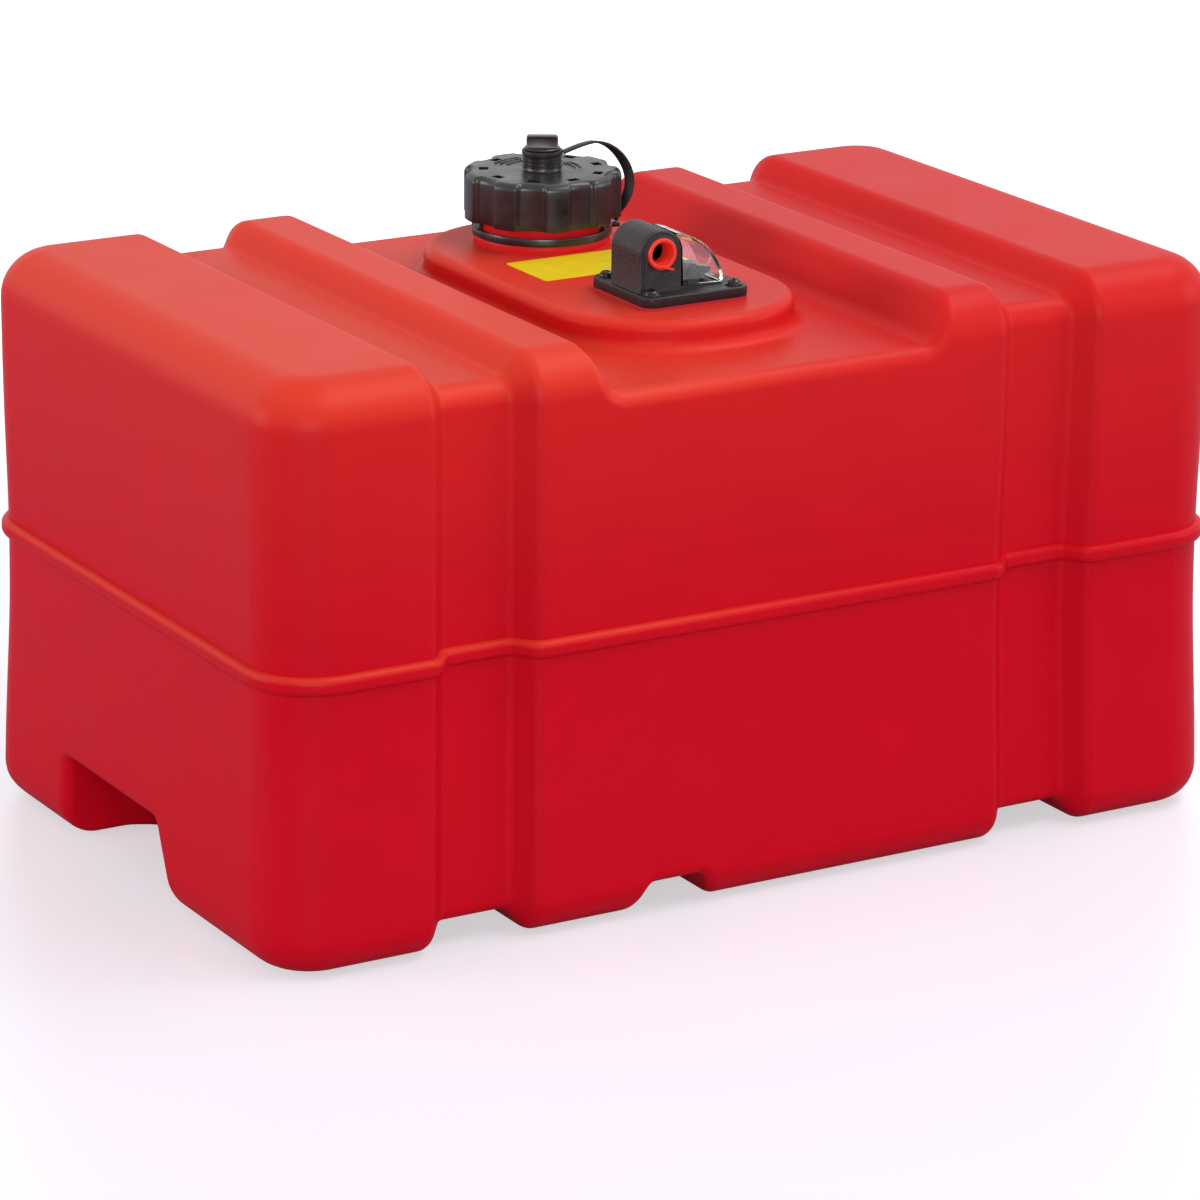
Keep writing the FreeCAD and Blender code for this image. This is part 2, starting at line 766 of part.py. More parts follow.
def make_gauge_screws():
    screws = []
    for place in screw_places():
        head = cylinder(screw_head_radius, plate_top, plate_top + screw_head_height, place)
        top = plate_top + screw_head_height
        head = head.makeFillet(screw_head_edge_radius, sharp_edges(head, lambda p: near(p.z, top)))
        recess = cylinder(screw_recess_radius, top - screw_recess_depth, top + 1, place)
        shank = cylinder(screw_shank_radius, pad_top - screw_reach, plate_top + 0.5, place)
        screws.append(head.fuse(shank).removeSplitter().cut(recess))
    return Part.makeCompound(screws)


def lens_form(radius, front_y, back_y, corner_reach, left_x, low):
    """Part of a drum beside the tower, with a bowed end, between two flat sides."""
    front = gauge_y + front_y
    back = gauge_y + back_y
    drum = Part.makeCylinder(radius, back - front,
                             Vector(tower_right_x - lens_set_in, front, lens_foot - lens_drop), across)
    corner_x = tower_right_x + corner_reach
    bow = Part.Arc(Vector(corner_x, front, low), Vector(corner_x + lens_bulge, (front + back) / 2, low),
                   Vector(corner_x, back, low)).toShape()
    points = [Vector(corner_x, back, low), Vector(left_x, back, low), Vector(left_x, front, low),
              Vector(corner_x, front, low)]
    lines = [Part.LineSegment(points[i], points[i + 1]).toShape() for i in range(3)]
    plan = Part.Face(Part.Wire([bow] + lines)).extrude(Vector(0, 0, 2 * lens_radius))
    return drum.common(plan)


def lens_shell(low, inner_low):
    """Hollow lens, open below and towards the tower, with its crests rounded."""
    left_x = tower_right_x - lens_lap
    outer = lens_form(lens_radius, lens_front_y, lens_back_y, lens_corner_reach, left_x, low)

    def on_crest(p):
        at_side = near(p.y, gauge_y + lens_front_y) or near(p.y, gauge_y + lens_back_y)
        return at_side and (p.z > lens_foot + 1 or p.x > tower_right_x + 1)

    outer = outer.makeFillet(lens_edge_radius, sharp_edges(outer, on_crest))
    tower = arch_prism(tower_width + 2 * lens_tower_gap, tower_height + lens_tower_gap,
                       gauge_y + lens_front_y - 1, gauge_y + lens_back_y + 1, port_x)
    inner = lens_form(lens_radius - lens_wall, lens_inner_front, lens_inner_back,
                      lens_corner_reach - lens_wall, left_x - 1, inner_low)
    return outer.cut(inner).cut(tower)


def make_gauge_lens():
    return lens_shell(lens_foot, lens_foot - 1)


def make_lens_seal():
    band = Part.makeBox(plate_size, plate_size, lens_seal_thickness,
                        Vector(tower_right_x, gauge_y - plate_size / 2, plate_top))
    return lens_shell(plate_top, plate_top - 1).common(band)


def make_pivot_pin():
    return rod_along_y(pin_radius, front_ear_y, back_ear_y + ear_thickness, pivot_x, pivot_z)


def make_gauge_pointer():
    """Hub on the pin with the wedge that shows the level, drawn at Empty."""
    pivot = Vector(pivot_x, 0, pivot_z)
    hub = rod_along_y(hub_radius, hub_front_y, hub_back_y, pivot_x, pivot_z)
    heading = in_plane_xz(pointer_rise, 1)
    side = Vector(-heading.z, 0, heading.x)
    half_root = hub_radius * 0.95
    tip = pivot + heading * pointer_length
    points = [pivot + side * half_root, tip + side * pointer_tip_width / 2,
              tip - side * pointer_tip_width / 2, pivot - side * half_root]
    points = [p + Vector(0, hub_front_y, 0) for p in points]
    wedge = Part.Face(Part.makePolygon(points + points[:1])).extrude(Vector(0, pointer_thickness, 0))
    pointer = hub.fuse(wedge).removeSplitter()
    pointer = pointer.cut(rod_along_y(pin_radius + pin_running_gap, hub_front_y - 1, hub_back_y + 1,
                                      pivot_x, pivot_z))
    return pointer.cut(arm_socket())


def arm_points():
    """Pivot, bend and float centre of the arm, drawn at Empty."""
    pivot = Vector(pivot_x, arm_y, pivot_z)
    bend = pivot + in_plane_xz(arm_stub_angle, arm_stub_length)
    float_centre = pivot + in_plane_xz(float_angle, float_distance)
    return pivot, bend, float_centre


def arm_start():
    return pin_radius + pin_running_gap + 1.0


def arm_socket():
    """Blind hole in the hub that takes the end of the arm."""
    pivot, bend, _ = arm_points()
    heading = (bend - pivot).normalize()
    return Part.makeCylinder(arm_radius + pin_running_gap, hub_radius + 2, pivot + heading * arm_start(),
                             heading)


def make_float_arm():
    """Bent wire from the hub through the float, as two rods and the bend between them."""
    pivot, bend, float_centre = arm_points()
    first = (bend - pivot).normalize()
    second = (float_centre - bend).normalize()
    half_turn = first.getAngle(second) / 2
    tangent = arm_bend_radius * math.tan(half_turn)
    start = pivot + first * arm_start()
    bend_start = bend - first * tangent
    bend_end = bend + second * tangent
    finish = float_centre + second * (float_length / 2 + clip_thickness + arm_tail)
    inward = (second - first).normalize()
    middle = bend + inward * (arm_bend_radius / math.cos(half_turn) - arm_bend_radius)
    path = Part.Wire([Part.LineSegment(start, bend_start).toShape(),
                      Part.Arc(bend_start, middle, bend_end).toShape(),
                      Part.LineSegment(bend_end, finish).toShape()])
    profile = Part.Wire([Part.Circle(start, first, arm_radius).toShape()])
    return path.makePipeShell([profile], True, True)


def float_axis():
    _, bend, float_centre = arm_points()
    return float_centre, (float_centre - bend).normalize()


def make_float():
    centre, heading = float_axis()
    begin = centre - heading * float_length / 2
    body = Part.makeCylinder(float_radius, float_length, begin, heading)
    ends = [edge for edge in body.Edges if isinstance(edge.Curve, Part.Circle)]
    body = body.makeFillet(float_edge_radius, ends)
    bore = Part.makeCylinder(arm_radius + float_bore_gap, float_length + 2, begin - heading, heading)
    return body.cut(bore)


def make_float_clip():
    """Push-on disc that keeps the float on the arm."""
    centre, heading = float_axis()
    begin = centre + heading * float_length / 2
    disc = Part.makeCylinder(clip_radius, clip_thickness, begin, heading)
    return disc.cut(Part.makeCylinder(arm_radius + float_bore_gap, clip_thickness + 2, begin - heading, heading))


# ---- Pickup and port guard

def make_pickup_tube():
    place = Vector(passage_x, passage_y, 0)
    return tube(tube_radius, spigot_radius + tube_gap, tube_end_height, plate_bottom, place)


def make_pickup_strainer():
    """Slotted cup on the lower end of the tube."""
    place = Vector(passage_x, passage_y, 0)
    low = wall + strainer_floor_gap
    high = low + strainer_height
    cup = cylinder(strainer_radius, low, high, place)
    cup = cup.cut(cylinder(strainer_radius - strainer_wall, low + strainer_wall, high - 2 * strainer_wall, place))
    cup = cup.cut(cylinder(tube_radius + tube_gap, high - 3 * strainer_wall, high + 1, place))
    for k in range(strainer_windows):
        window = Part.makeBox(2 * strainer_radius, strainer_window_width, strainer_window_height,
                              Vector(0, -strainer_window_width / 2, low + 3 * strainer_wall))
        window.rotate(Vector(0, 0, 0), up, 360.0 * k / strainer_windows)
        window.translate(place)
        cup = cup.cut(window)
    return cup


def make_port_guard():
    """Push-in sleeve that guards the port's mouth, open right through, with a pull tab."""
    face = gauge_y + tower_front_y - arch_proud
    outer = port_radius - guard_gap
    guard = rod_along_y(guard_flange_radius, face - guard_flange_thickness, face, port_x, port_z)
    guard = guard.fuse(rod_along_y(outer, face - 1, face + guard_length, port_x, port_z))
    tab = Part.makeBox(guard_flange_radius + guard_tab_length, guard_flange_thickness, guard_tab_width,
                       Vector(0, face - guard_flange_thickness, -guard_tab_width / 2))
    tab.rotate(Vector(0, 0, 0), across, -guard_tab_angle)
    tab.translate(Vector(port_x, 0, port_z))
    guard = guard.fuse(tab).removeSplitter()
    return guard.cut(rod_along_y(outer - guard_wall, face - guard_flange_thickness - 1,
                                face + guard_length + 1, port_x, port_z))


def make_sticker():
    centre = Vector((sticker_left_x + sticker_right_x) / 2, (sticker_front_y + sticker_back_y) / 2, 0)
    return rounded_plate(sticker_right_x - sticker_left_x, sticker_back_y - sticker_front_y,
                         sticker_corner_radius, pad_top, pad_top + sticker_thickness, centre)


makers = {
    "tank_shell": make_tank_shell,
    "filler_cap": make_filler_cap,
    "cap_gasket": make_cap_gasket,
    "vent_seal": make_vent_seal,
    "vent_knob": make_vent_knob,
    "tether_ring": make_tether_ring,
    "tether_eye": make_tether_eye,
    "tether_strap": make_tether_strap,
    "gauge_body": make_gauge_body,
    "gauge_gasket": make_gauge_gasket,
    "gauge_screws": make_gauge_screws,
    "gauge_lens": make_gauge_lens,
    "lens_seal": make_lens_seal,
    "pivot_pin": make_pivot_pin,
    "gauge_pointer": make_gauge_pointer,
    "float_arm": make_float_arm,
    "float": make_float,
    "float_clip": make_float_clip,
    "pickup_tube": make_pickup_tube,
    "pickup_strainer": make_pickup_strainer,
    "port_guard": make_port_guard,
    "sticker": make_sticker,
}

os.makedirs("parts", exist_ok=True)
for name, maker in makers.items():
    solid = maker()
    print(f"{name}: {len(solid.Solids)} solid(s), {solid.Volume / 1000:.1f} cm3, valid {solid.isValid()}")
    solid.exportStep(f"parts/{name}.step")
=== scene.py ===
import math

import bmesh
import bpy
from mathutils import Matrix, Vector


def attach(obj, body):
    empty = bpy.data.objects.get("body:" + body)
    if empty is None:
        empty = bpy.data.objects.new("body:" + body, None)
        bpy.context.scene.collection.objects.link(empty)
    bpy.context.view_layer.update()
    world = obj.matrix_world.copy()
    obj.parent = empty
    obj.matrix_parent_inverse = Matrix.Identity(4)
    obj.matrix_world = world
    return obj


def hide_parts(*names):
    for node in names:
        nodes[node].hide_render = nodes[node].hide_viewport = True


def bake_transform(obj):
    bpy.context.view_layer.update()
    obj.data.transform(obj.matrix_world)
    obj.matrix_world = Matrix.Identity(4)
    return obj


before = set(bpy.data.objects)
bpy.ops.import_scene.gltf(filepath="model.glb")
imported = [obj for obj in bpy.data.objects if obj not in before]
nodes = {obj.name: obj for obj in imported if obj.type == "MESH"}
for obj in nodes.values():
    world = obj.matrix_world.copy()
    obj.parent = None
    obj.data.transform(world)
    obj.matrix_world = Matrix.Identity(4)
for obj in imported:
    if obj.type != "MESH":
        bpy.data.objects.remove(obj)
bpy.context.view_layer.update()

scene = bpy.context.scene
print("frame loaded,", len(nodes), "nodes")

# corners this close are one corner, and anything thinner than a sliver is nothing
weldWithin = 1e-6
sliverWithin = 1e-7
flatWithinDegrees = 0.4
# edges that turn by more degrees than this stay crisp, and are what a bevel takes
crispAbove = {"plain": 32, "softened": 40, "tank": 38, "thread": 50, "step": 40, "cap": 42, "ribs": 40,
              "knob": 35, "wing": 40, "strap": 40, "strapCorner": 60, "screws": 28, "sleeve": 38, "floor": 35}
# how much more a broad face counts in the shading than a narrow one
broadFaceWeight = 60
# where the middle point of a two-step rounding lies, as a share of its radius
roundMiddle = 0.3


def toLinear(hexColour):
    channels = [int(hexColour[i:i + 2], 16) / 255 for i in (1, 3, 5)]
    linear = [c / 12.92 if c <= 0.04045 else ((c + 0.055) / 1.055) ** 2.4 for c in channels]
    return (*linear, 1.0)


def addNode(tree, kind, settings=None, values=None, links=None):
    node = tree.nodes.new(kind)
    for name, value in (settings or {}).items():
        setattr(node, name, value)
    for name, value in (values or {}).items():
        node.inputs[name].default_value = value
    for name, source in (links or {}).items():
        tree.links.new(source, node.inputs[name])
    return node


def wireShader(tree, shader, colour, gloss, relief):
    tree.links.new(colour.outputs[2], shader.inputs["Base Color"])
    tree.links.new(gloss.outputs["Result"], shader.inputs["Roughness"])
    tree.links.new(relief.outputs["Normal"], shader.inputs["Normal"])


def startMaterial(name):
    material = bpy.data.materials.new(name)
    material.use_nodes = True
    tree = material.node_tree
    tree.nodes.clear()
    shader = addNode(tree, "ShaderNodeBsdfPrincipled")
    addNode(tree, "ShaderNodeOutputMaterial", links={"Surface": shader.outputs["BSDF"]})
    return material, tree, shader


def paint(piece, material):
    piece.data.materials.clear()
    piece.data.materials.append(material)


def shadeByAngle(bm, degrees):
    limit = math.radians(degrees)
    for face in bm.faces:
        face.smooth = True
    for edge in bm.edges:
        edge.smooth = len(edge.link_faces) != 2 or edge.calc_face_angle(0.0) < limit


def finishPiece(bm, name, body, material, degrees, fixNormals=True, even=False):
    if fixNormals:
        bmesh.ops.recalc_face_normals(bm, faces=bm.faces)
    shadeByAngle(bm, degrees)
    mesh = bpy.data.meshes.new(name)
    bm.to_mesh(mesh)
    bm.free()
    packedNormals = mesh.attributes.get("custom_normal")
    if packedNormals:
        mesh.attributes.remove(packedNormals)
    piece = bpy.data.objects.new(name, mesh)
    scene.collection.objects.link(piece)
    paint(piece, material)
    if even:
        evenShade = piece.modifiers.new("evenShade", "WEIGHTED_NORMAL")
        evenShade.keep_sharp = True
        evenShade.weight = broadFaceWeight
    if body:
        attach(piece, body)
    return piece


def joinedCopy(nodeName):
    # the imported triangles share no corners, so a copy is joined before anything is done to it
    bm = bmesh.new()
    bm.from_mesh(nodes[nodeName].data)
    bmesh.ops.remove_doubles(bm, verts=bm.verts, dist=weldWithin)
    bmesh.ops.dissolve_degenerate(bm, dist=sliverWithin, edges=bm.edges)
    return bm


def sharpEdges(bm, degrees):
    limit = math.radians(degrees)
    return [e for e in bm.edges if len(e.link_faces) == 2 and e.calc_face_angle(0.0) > limit]


def bevelEdges(bm, edges, width, segments=2):
    bmesh.ops.bevel(bm, geom=edges, offset=width, segments=segments, affect="EDGES", profile=0.5,
                    material=-1)


def softenEdges(bm, width):
    # flat faces are made whole first, so that the bevel meets no stray triangle edges
    bmesh.ops.dissolve_limit(bm, angle_limit=math.radians(flatWithinDegrees), verts=bm.verts, edges=bm.edges)
    bevelEdges(bm, sharpEdges(bm, crispAbove["plain"]), width)
    bmesh.ops.remove_doubles(bm, verts=bm.verts, dist=weldWithin)


def dressNode(nodeName, pieceName, body, material, soften):
    bm = joinedCopy(nodeName)
    softenEdges(bm, soften)
    piece = finishPiece(bm, pieceName, body, material, crispAbove["softened"], fixNormals=False, even=True)
    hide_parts(nodeName)


def addPart(bm, part):
    # one bmesh goes into another through a mesh that is then dropped
    mesh = bpy.data.meshes.new("part")
    part.to_mesh(mesh)
    part.free()
    bm.from_mesh(mesh)
    bpy.data.meshes.remove(mesh)


def spinProfile(bm, points, centre, angle=360.0, steps=64, rise=0.0, start=0.0):
    # closed outline of (radius, height) in metres, turned round the upright line through centre
    verts = [bm.verts.new((r, 0.0, z)) for r, z in points]
    edges = [bm.edges.new((a, b)) for a, b in zip(verts, verts[1:] + verts[:1])]
    bmesh.ops.rotate(bm, verts=verts, cent=(0, 0, 0), matrix=Matrix.Rotation(math.radians(start), 3, "Z"))
    full = angle == 360.0 and rise == 0.0
    bmesh.ops.spin(bm, geom=verts + edges, cent=(0, 0, 0), axis=(0, 0, 1), angle=math.radians(angle),
                   dvec=(0, 0, rise / steps), steps=steps, use_merge=full, use_duplicate=False)
    bmesh.ops.remove_doubles(bm, verts=bm.verts, dist=weldWithin)
    if not full:
        ends = [e for e in bm.edges if len(e.link_faces) == 1]
        bmesh.ops.holes_fill(bm, edges=ends, sides=0)
    bmesh.ops.translate(bm, verts=bm.verts, vec=centre)


def spinSolid(bm, points, steps):
    # outline of (radius, height) that starts and ends on the upright line, turned round it
    verts = [bm.verts.new((r, 0.0, z)) for r, z in points]
    edges = [bm.edges.new((a, b)) for a, b in zip(verts, verts[1:])]
    bmesh.ops.spin(bm, geom=verts + edges, cent=(0, 0, 0), axis=(0, 0, 1), angle=2 * math.pi, steps=steps,
                   use_merge=True, use_duplicate=False)
    bmesh.ops.remove_doubles(bm, verts=bm.verts, dist=weldWithin)
    bmesh.ops.recalc_face_normals(bm, faces=bm.faces)


def tankPolyethylene():
    # blow-moulded polyethylene: a soft satin skin, with painted light: painted lighter and warmer near its top
    # and where it faces up.
    # The painted light is weaker toward its right end, whose tops are painted less light.
    look = {"deep": "#BE0019", "worn": "#C8041B", "paintedTopLight": "#DC442C", "patch": 0.045, "patchDetail": 3.0,
            "upward": (-0.05, 0.8, 0.0, 0.52), "height": (0.13, 0.31, 0.0, 0.2),
            "along": (-0.12, 0.12, 1.0, 0.08),  # each from, to, and the share of the painted light at either
            "rough": (0.36, 0.46), "specular": 0.09,
            "peel": 0.0016, "peelDetail": 2.0, "peelDepth": 0.00005, "peelStrength": 0.7,
            "sag": 0.07, "sagDetail": 1.0, "sagDepth": 0.0007, "sagStrength": 0.5}
    material, tree, shader = startMaterial("blowMouldedPolyethylene")
    place = addNode(tree, "ShaderNodeTexCoord")
    patches = addNode(tree, "ShaderNodeTexNoise",
                      values={"Scale": 1 / look["patch"], "Detail": look["patchDetail"]},
                      links={"Vector": place.outputs["Object"]})
    skin = addNode(tree, "ShaderNodeMix", settings={"data_type": "RGBA"},
                   values={6: toLinear(look["deep"]), 7: toLinear(look["worn"])},
                   links={0: patches.outputs["Fac"]})
    facing = addNode(tree, "ShaderNodeSeparateXYZ", links={0: place.outputs["Normal"]})
    spot = addNode(tree, "ShaderNodeSeparateXYZ", links={0: place.outputs["Object"]})
    shares = {}
    for name, source in {"upward": facing.outputs["Z"], "height": spot.outputs["Z"],
                         "along": spot.outputs["X"]}.items():
        low, high, atLow, atHigh = look[name]
        shares[name] = addNode(tree, "ShaderNodeMapRange", settings={"interpolation_type": "SMOOTHSTEP"},
                               values={"From Min": low, "From Max": high, "To Min": atLow, "To Max": atHigh},
                               links={"Value": source})
    # painted light: how much of the lighter, warmer tone each point gets, by facing up, by height and along the
    # tank
    paintedLightShare = addNode(tree, "ShaderNodeMath", settings={"operation": "MULTIPLY_ADD", "use_clamp": True},
                     links={0: shares["upward"].outputs["Result"], 1: shares["along"].outputs["Result"],
                            2: shares["height"].outputs["Result"]})
    # the skin mixed toward the painted light tone
    colour = addNode(tree, "ShaderNodeMix", settings={"data_type": "RGBA"},
                     values={7: toLinear(look["paintedTopLight"])}, links={0: paintedLightShare.outputs[0], 6: skin.outputs[2]})
    gloss = addNode(tree, "ShaderNodeMapRange",
                    values={"To Min": look["rough"][0], "To Max": look["rough"][1]},
                    links={"Value": patches.outputs["Fac"]})
    sag = addNode(tree, "ShaderNodeTexNoise", values={"Scale": 1 / look["sag"], "Detail": look["sagDetail"]},
                  links={"Vector": place.outputs["Object"]})
    peel = addNode(tree, "ShaderNodeTexNoise", values={"Scale": 1 / look["peel"], "Detail": look["peelDetail"]},
                   links={"Vector": place.outputs["Object"]})
    waves = addNode(tree, "ShaderNodeBump",
                    values={"Strength": look["sagStrength"], "Distance": look["sagDepth"]},
                    links={"Height": sag.outputs["Fac"]})
    grain = addNode(tree, "ShaderNodeBump",
                    values={"Strength": look["peelStrength"], "Distance": look["peelDepth"]},
                    links={"Height": peel.outputs["Fac"], "Normal": waves.outputs["Normal"]})
    wireShader(tree, shader, colour, gloss, grain)
    shader.inputs["Specular IOR Level"].default_value = look["specular"]
    return material


# what every moulded skin shares
skinShared = {"patchDetail": 4.0, "patchFrom": 0.3, "patchTo": 0.7, "grainDetail": 3.0, "grainStrength": 0.8}


def mouldedSkin(name, look):
    # a moulded skin: two close tones in patches, a gloss that drifts with them and a fine grain in relief
    material, tree, shader = startMaterial(name)
    place = addNode(tree, "ShaderNodeTexCoord")
    patches = addNode(tree, "ShaderNodeTexNoise",
                      values={"Scale": 1 / look["patch"], "Detail": skinShared["patchDetail"]},
                      links={"Vector": place.outputs["Object"]})
    colour = addNode(tree, "ShaderNodeMix", settings={"data_type": "RGBA"},
                     values={6: toLinear(look["dark"]), 7: toLinear(look["light"])},
                     links={0: patches.outputs["Fac"]})
    gloss = addNode(tree, "ShaderNodeMapRange",
                    values={"From Min": skinShared["patchFrom"], "From Max": skinShared["patchTo"],
                            "To Min": look["rough"][0], "To Max": look["rough"][1]},
                    links={"Value": patches.outputs["Fac"]})
    grit = addNode(tree, "ShaderNodeTexNoise",
                   values={"Scale": 1 / look["grain"], "Detail": skinShared["grainDetail"]},
                   links={"Vector": place.outputs["Object"]})
    relief = addNode(tree, "ShaderNodeBump",
                     values={"Strength": skinShared["grainStrength"], "Distance": look["depth"]},
                     links={"Height": grit.outputs["Fac"]})
    wireShader(tree, shader, colour, gloss, relief)
    for socket, value in look.get("sockets", {}).items():
        shader.inputs[socket].default_value = value
    return material


# patch and grain are widths in metres. Real grains are a few tenths of a millimetre or less, too fine to
# show, so all of them are drawn coarser.
finishes = {
    # injection-moulded polypropylene: a close satin with soft highlights on its edges
    "mouldedPolypropylene": {"dark": "#191517", "light": "#242022", "patch": 0.012, "rough": (0.25, 0.36),
                             "grain": 0.0007, "depth": 0.00003},
    # glass-filled nylon from an eroded mould: a coarse, dry, slightly brown black
    "glassFilledNylon": {"dark": "#110D0E", "light": "#271E21", "patch": 0.003, "rough": (0.34, 0.54),
                         "grain": 0.0013, "depth": 0.00040, "sockets": {"Specular IOR Level": 0.36}},
    # flexible polyethylene strap: the same black, a little glossier along its bends
    "flexibleStrap": {"dark": "#161214", "light": "#1F1B1D", "patch": 0.004, "rough": (0.42, 0.54),
                      "grain": 0.0006, "depth": 0.00003, "sockets": {"Specular IOR Level": 0.36}},
    # black electrocoated steel: nearly black, with hard small highlights
    "electrocoatedSteel": {"dark": "#0B0B0D", "light": "#131316", "patch": 0.003, "rough": (0.14, 0.24),
                           "grain": 0.0005, "depth": 0.00001,
                           "sockets": {"Specular IOR Level": 0.3, "Coat Weight": 0.15, "Coat Roughness": 0.1}},
    # nitrile rubber: matt, dusty black
    "nitrileRubber": {"dark": "#161617", "light": "#222223", "patch": 0.004, "rough": (0.62, 0.78),
                      "grain": 0.0008, "depth": 0.00004},
    # red sheet rubber under the gauge: darker and duller than the tank
    "redSheetRubber": {"dark": "#9A0A1A", "light": "#AE1124", "patch": 0.005, "rough": (0.55, 0.7),
                       "grain": 0.0008, "depth": 0.00004},
    # soft low-density polyethylene sleeve: bright, waxy orange-red
    "softPolyethyleneSleeve": {"dark": "#DE2A1E", "light": "#EB3929", "patch": 0.004, "rough": (0.34, 0.44),
                               "grain": 0.0008, "depth": 0.00002},
    # natural acetal: off-white, a little waxy
    "naturalAcetal": {"dark": "#DCD8CC", "light": "#E8E4DA", "patch": 0.01, "rough": (0.35, 0.45),
                      "grain": 0.001, "depth": 0.00002},
    # blank yellow vinyl film: even and glossy
    "yellowVinylFilm": {"dark": "#E6C60B", "light": "#F1D41B", "patch": 0.012, "rough": (0.28, 0.38),
                        "grain": 0.004, "depth": 0.00002},
}


def drawnSteelWire():
    # drawn stainless wire: bright, with lines from the die, drawn 1 mm wide because real ones are too fine
    look = {"dark": "#A9A9A6", "light": "#C6C6C2", "line": 1 / 900.0, "detail": 2.0, "rough": (0.22, 0.4),
            "strength": 0.4, "depth": 0.00002}
    material, tree, shader = startMaterial("drawnSteelWire")
    place = addNode(tree, "ShaderNodeTexCoord")
    lines = addNode(tree, "ShaderNodeTexNoise", values={"Scale": 1 / look["line"], "Detail": look["detail"]},
                    links={"Vector": place.outputs["Object"]})
    colour = addNode(tree, "ShaderNodeMix", settings={"data_type": "RGBA"},
                     values={6: toLinear(look["dark"]), 7: toLinear(look["light"])},
                     links={0: lines.outputs["Fac"]})
    gloss = addNode(tree, "ShaderNodeMapRange",
                    values={"To Min": look["rough"][0], "To Max": look["rough"][1]},
                    links={"Value": lines.outputs["Fac"]})
    relief = addNode(tree, "ShaderNodeBump", values={"Strength": look["strength"], "Distance": look["depth"]},
                     links={"Height": lines.outputs["Fac"]})
    wireShader(tree, shader, colour, gloss, relief)
    shader.inputs["Metallic"].default_value = 1.0
    return material


def clearPolycarbonate():
    # clear moulded polycarbonate: polished, with the faint waviness of a moulded lens
    look = {"tint": "#FCFBF8", "index": 1.58, "ripple": 1 / 90.0, "detail": 1.0, "rough": (0.01, 0.05),
            "strength": 0.3, "depth": 0.0002}
    material, tree, shader = startMaterial("clearPolycarbonate")
    place = addNode(tree, "ShaderNodeTexCoord")
    ripple = addNode(tree, "ShaderNodeTexNoise",
                     values={"Scale": 1 / look["ripple"], "Detail": look["detail"]},
                     links={"Vector": place.outputs["Object"]})
    gloss = addNode(tree, "ShaderNodeMapRange",
                    values={"To Min": look["rough"][0], "To Max": look["rough"][1]},
                    links={"Value": ripple.outputs["Fac"]})
    relief = addNode(tree, "ShaderNodeBump", values={"Strength": look["strength"], "Distance": look["depth"]},
                     links={"Height": ripple.outputs["Fac"]})
    tree.links.new(gloss.outputs["Result"], shader.inputs["Roughness"])
    tree.links.new(relief.outputs["Normal"], shader.inputs["Normal"])
    shader.inputs["Base Color"].default_value = toLinear(look["tint"])
    shader.inputs["Transmission Weight"].default_value = 1.0
    shader.inputs["IOR"].default_value = look["index"]
    return material


materials = {name: mouldedSkin(name, look) for name, look in finishes.items()}
materials["blowMouldedPolyethylene"] = tankPolyethylene()
materials["drawnSteelWire"] = drawnSteelWire()
materials["clearPolycarbonate"] = clearPolycarbonate()
print("materials made:", len(materials))


# blow-moulded walls: they flare a little to the foot and draw in at the bead
tankWalls = {"flareAtFoot": 0.0034, "flareTop": 0.125, "pinchAtBead": 0.0010, "pinchReach": 0.055,
             "beadHeight": 0.157, "levelStep": 0.0125, "levelTop": 0.262,
             "halfLength": 0.292, "halfWidth": 0.178}


def wallShift(z):
    along = min(max((tankWalls["flareTop"] - z) / tankWalls["flareTop"], 0.0), 1.0)
    flare = tankWalls["flareAtFoot"] * along * along * (3 - 2 * along)
    near = (z - tankWalls["beadHeight"]) / tankWalls["pinchReach"]
    return flare - tankWalls["pinchAtBead"] * math.exp(-near * near)


# the hand holds: their outer flanks stand nearly upright and their inner ones lean back
handHold = {"roof": 0.046, "fade": 0.030, "inFrom": 0.200, "inFull": 0.226,
            "nearOut": -0.110, "farOut": 0.150,
            "nearFoot": -0.048, "nearRoof": -0.020, "farFoot": 0.102, "farRoof": 0.074,
            "nearShiftFoot": -0.007, "nearShiftRoof": -0.014,
            "farShiftFoot": -0.028, "farShiftRoof": -0.001}


def holdShift(x, y, z):
    h = handHold
    inward = min(max((abs(x) - h["inFrom"]) / (h["inFull"] - h["inFrom"]), 0.0), 1.0)
    above = min(max((z - h["roof"]) / h["fade"], 0.0), 1.0)
    if inward == 0.0 or above == 1.0:
        return 0.0
    rise = min(max(z / h["roof"], 0.0), 1.0)
    near = h["nearFoot"] + (h["nearRoof"] - h["nearFoot"]) * rise
    far = h["farFoot"] + (h["farRoof"] - h["farFoot"]) * rise
    nearShift = h["nearShiftFoot"] + (h["nearShiftRoof"] - h["nearShiftFoot"]) * rise
    farShift = h["farShiftFoot"] + (h["farShiftRoof"] - h["farShiftFoot"]) * rise
    stops = ((h["nearOut"], 0.0), (near, nearShift), (far, farShift), (h["farOut"], 0.0))
    shift = 0.0
    for (startY, startShift), (endY, endShift) in zip(stops, stops[1:]):
        if startY <= y < endY:
            shift = startShift + (endShift - startShift) * (y - startY) / (endY - startY)
    return shift * inward * (1 - above * above * (3 - 2 * above))


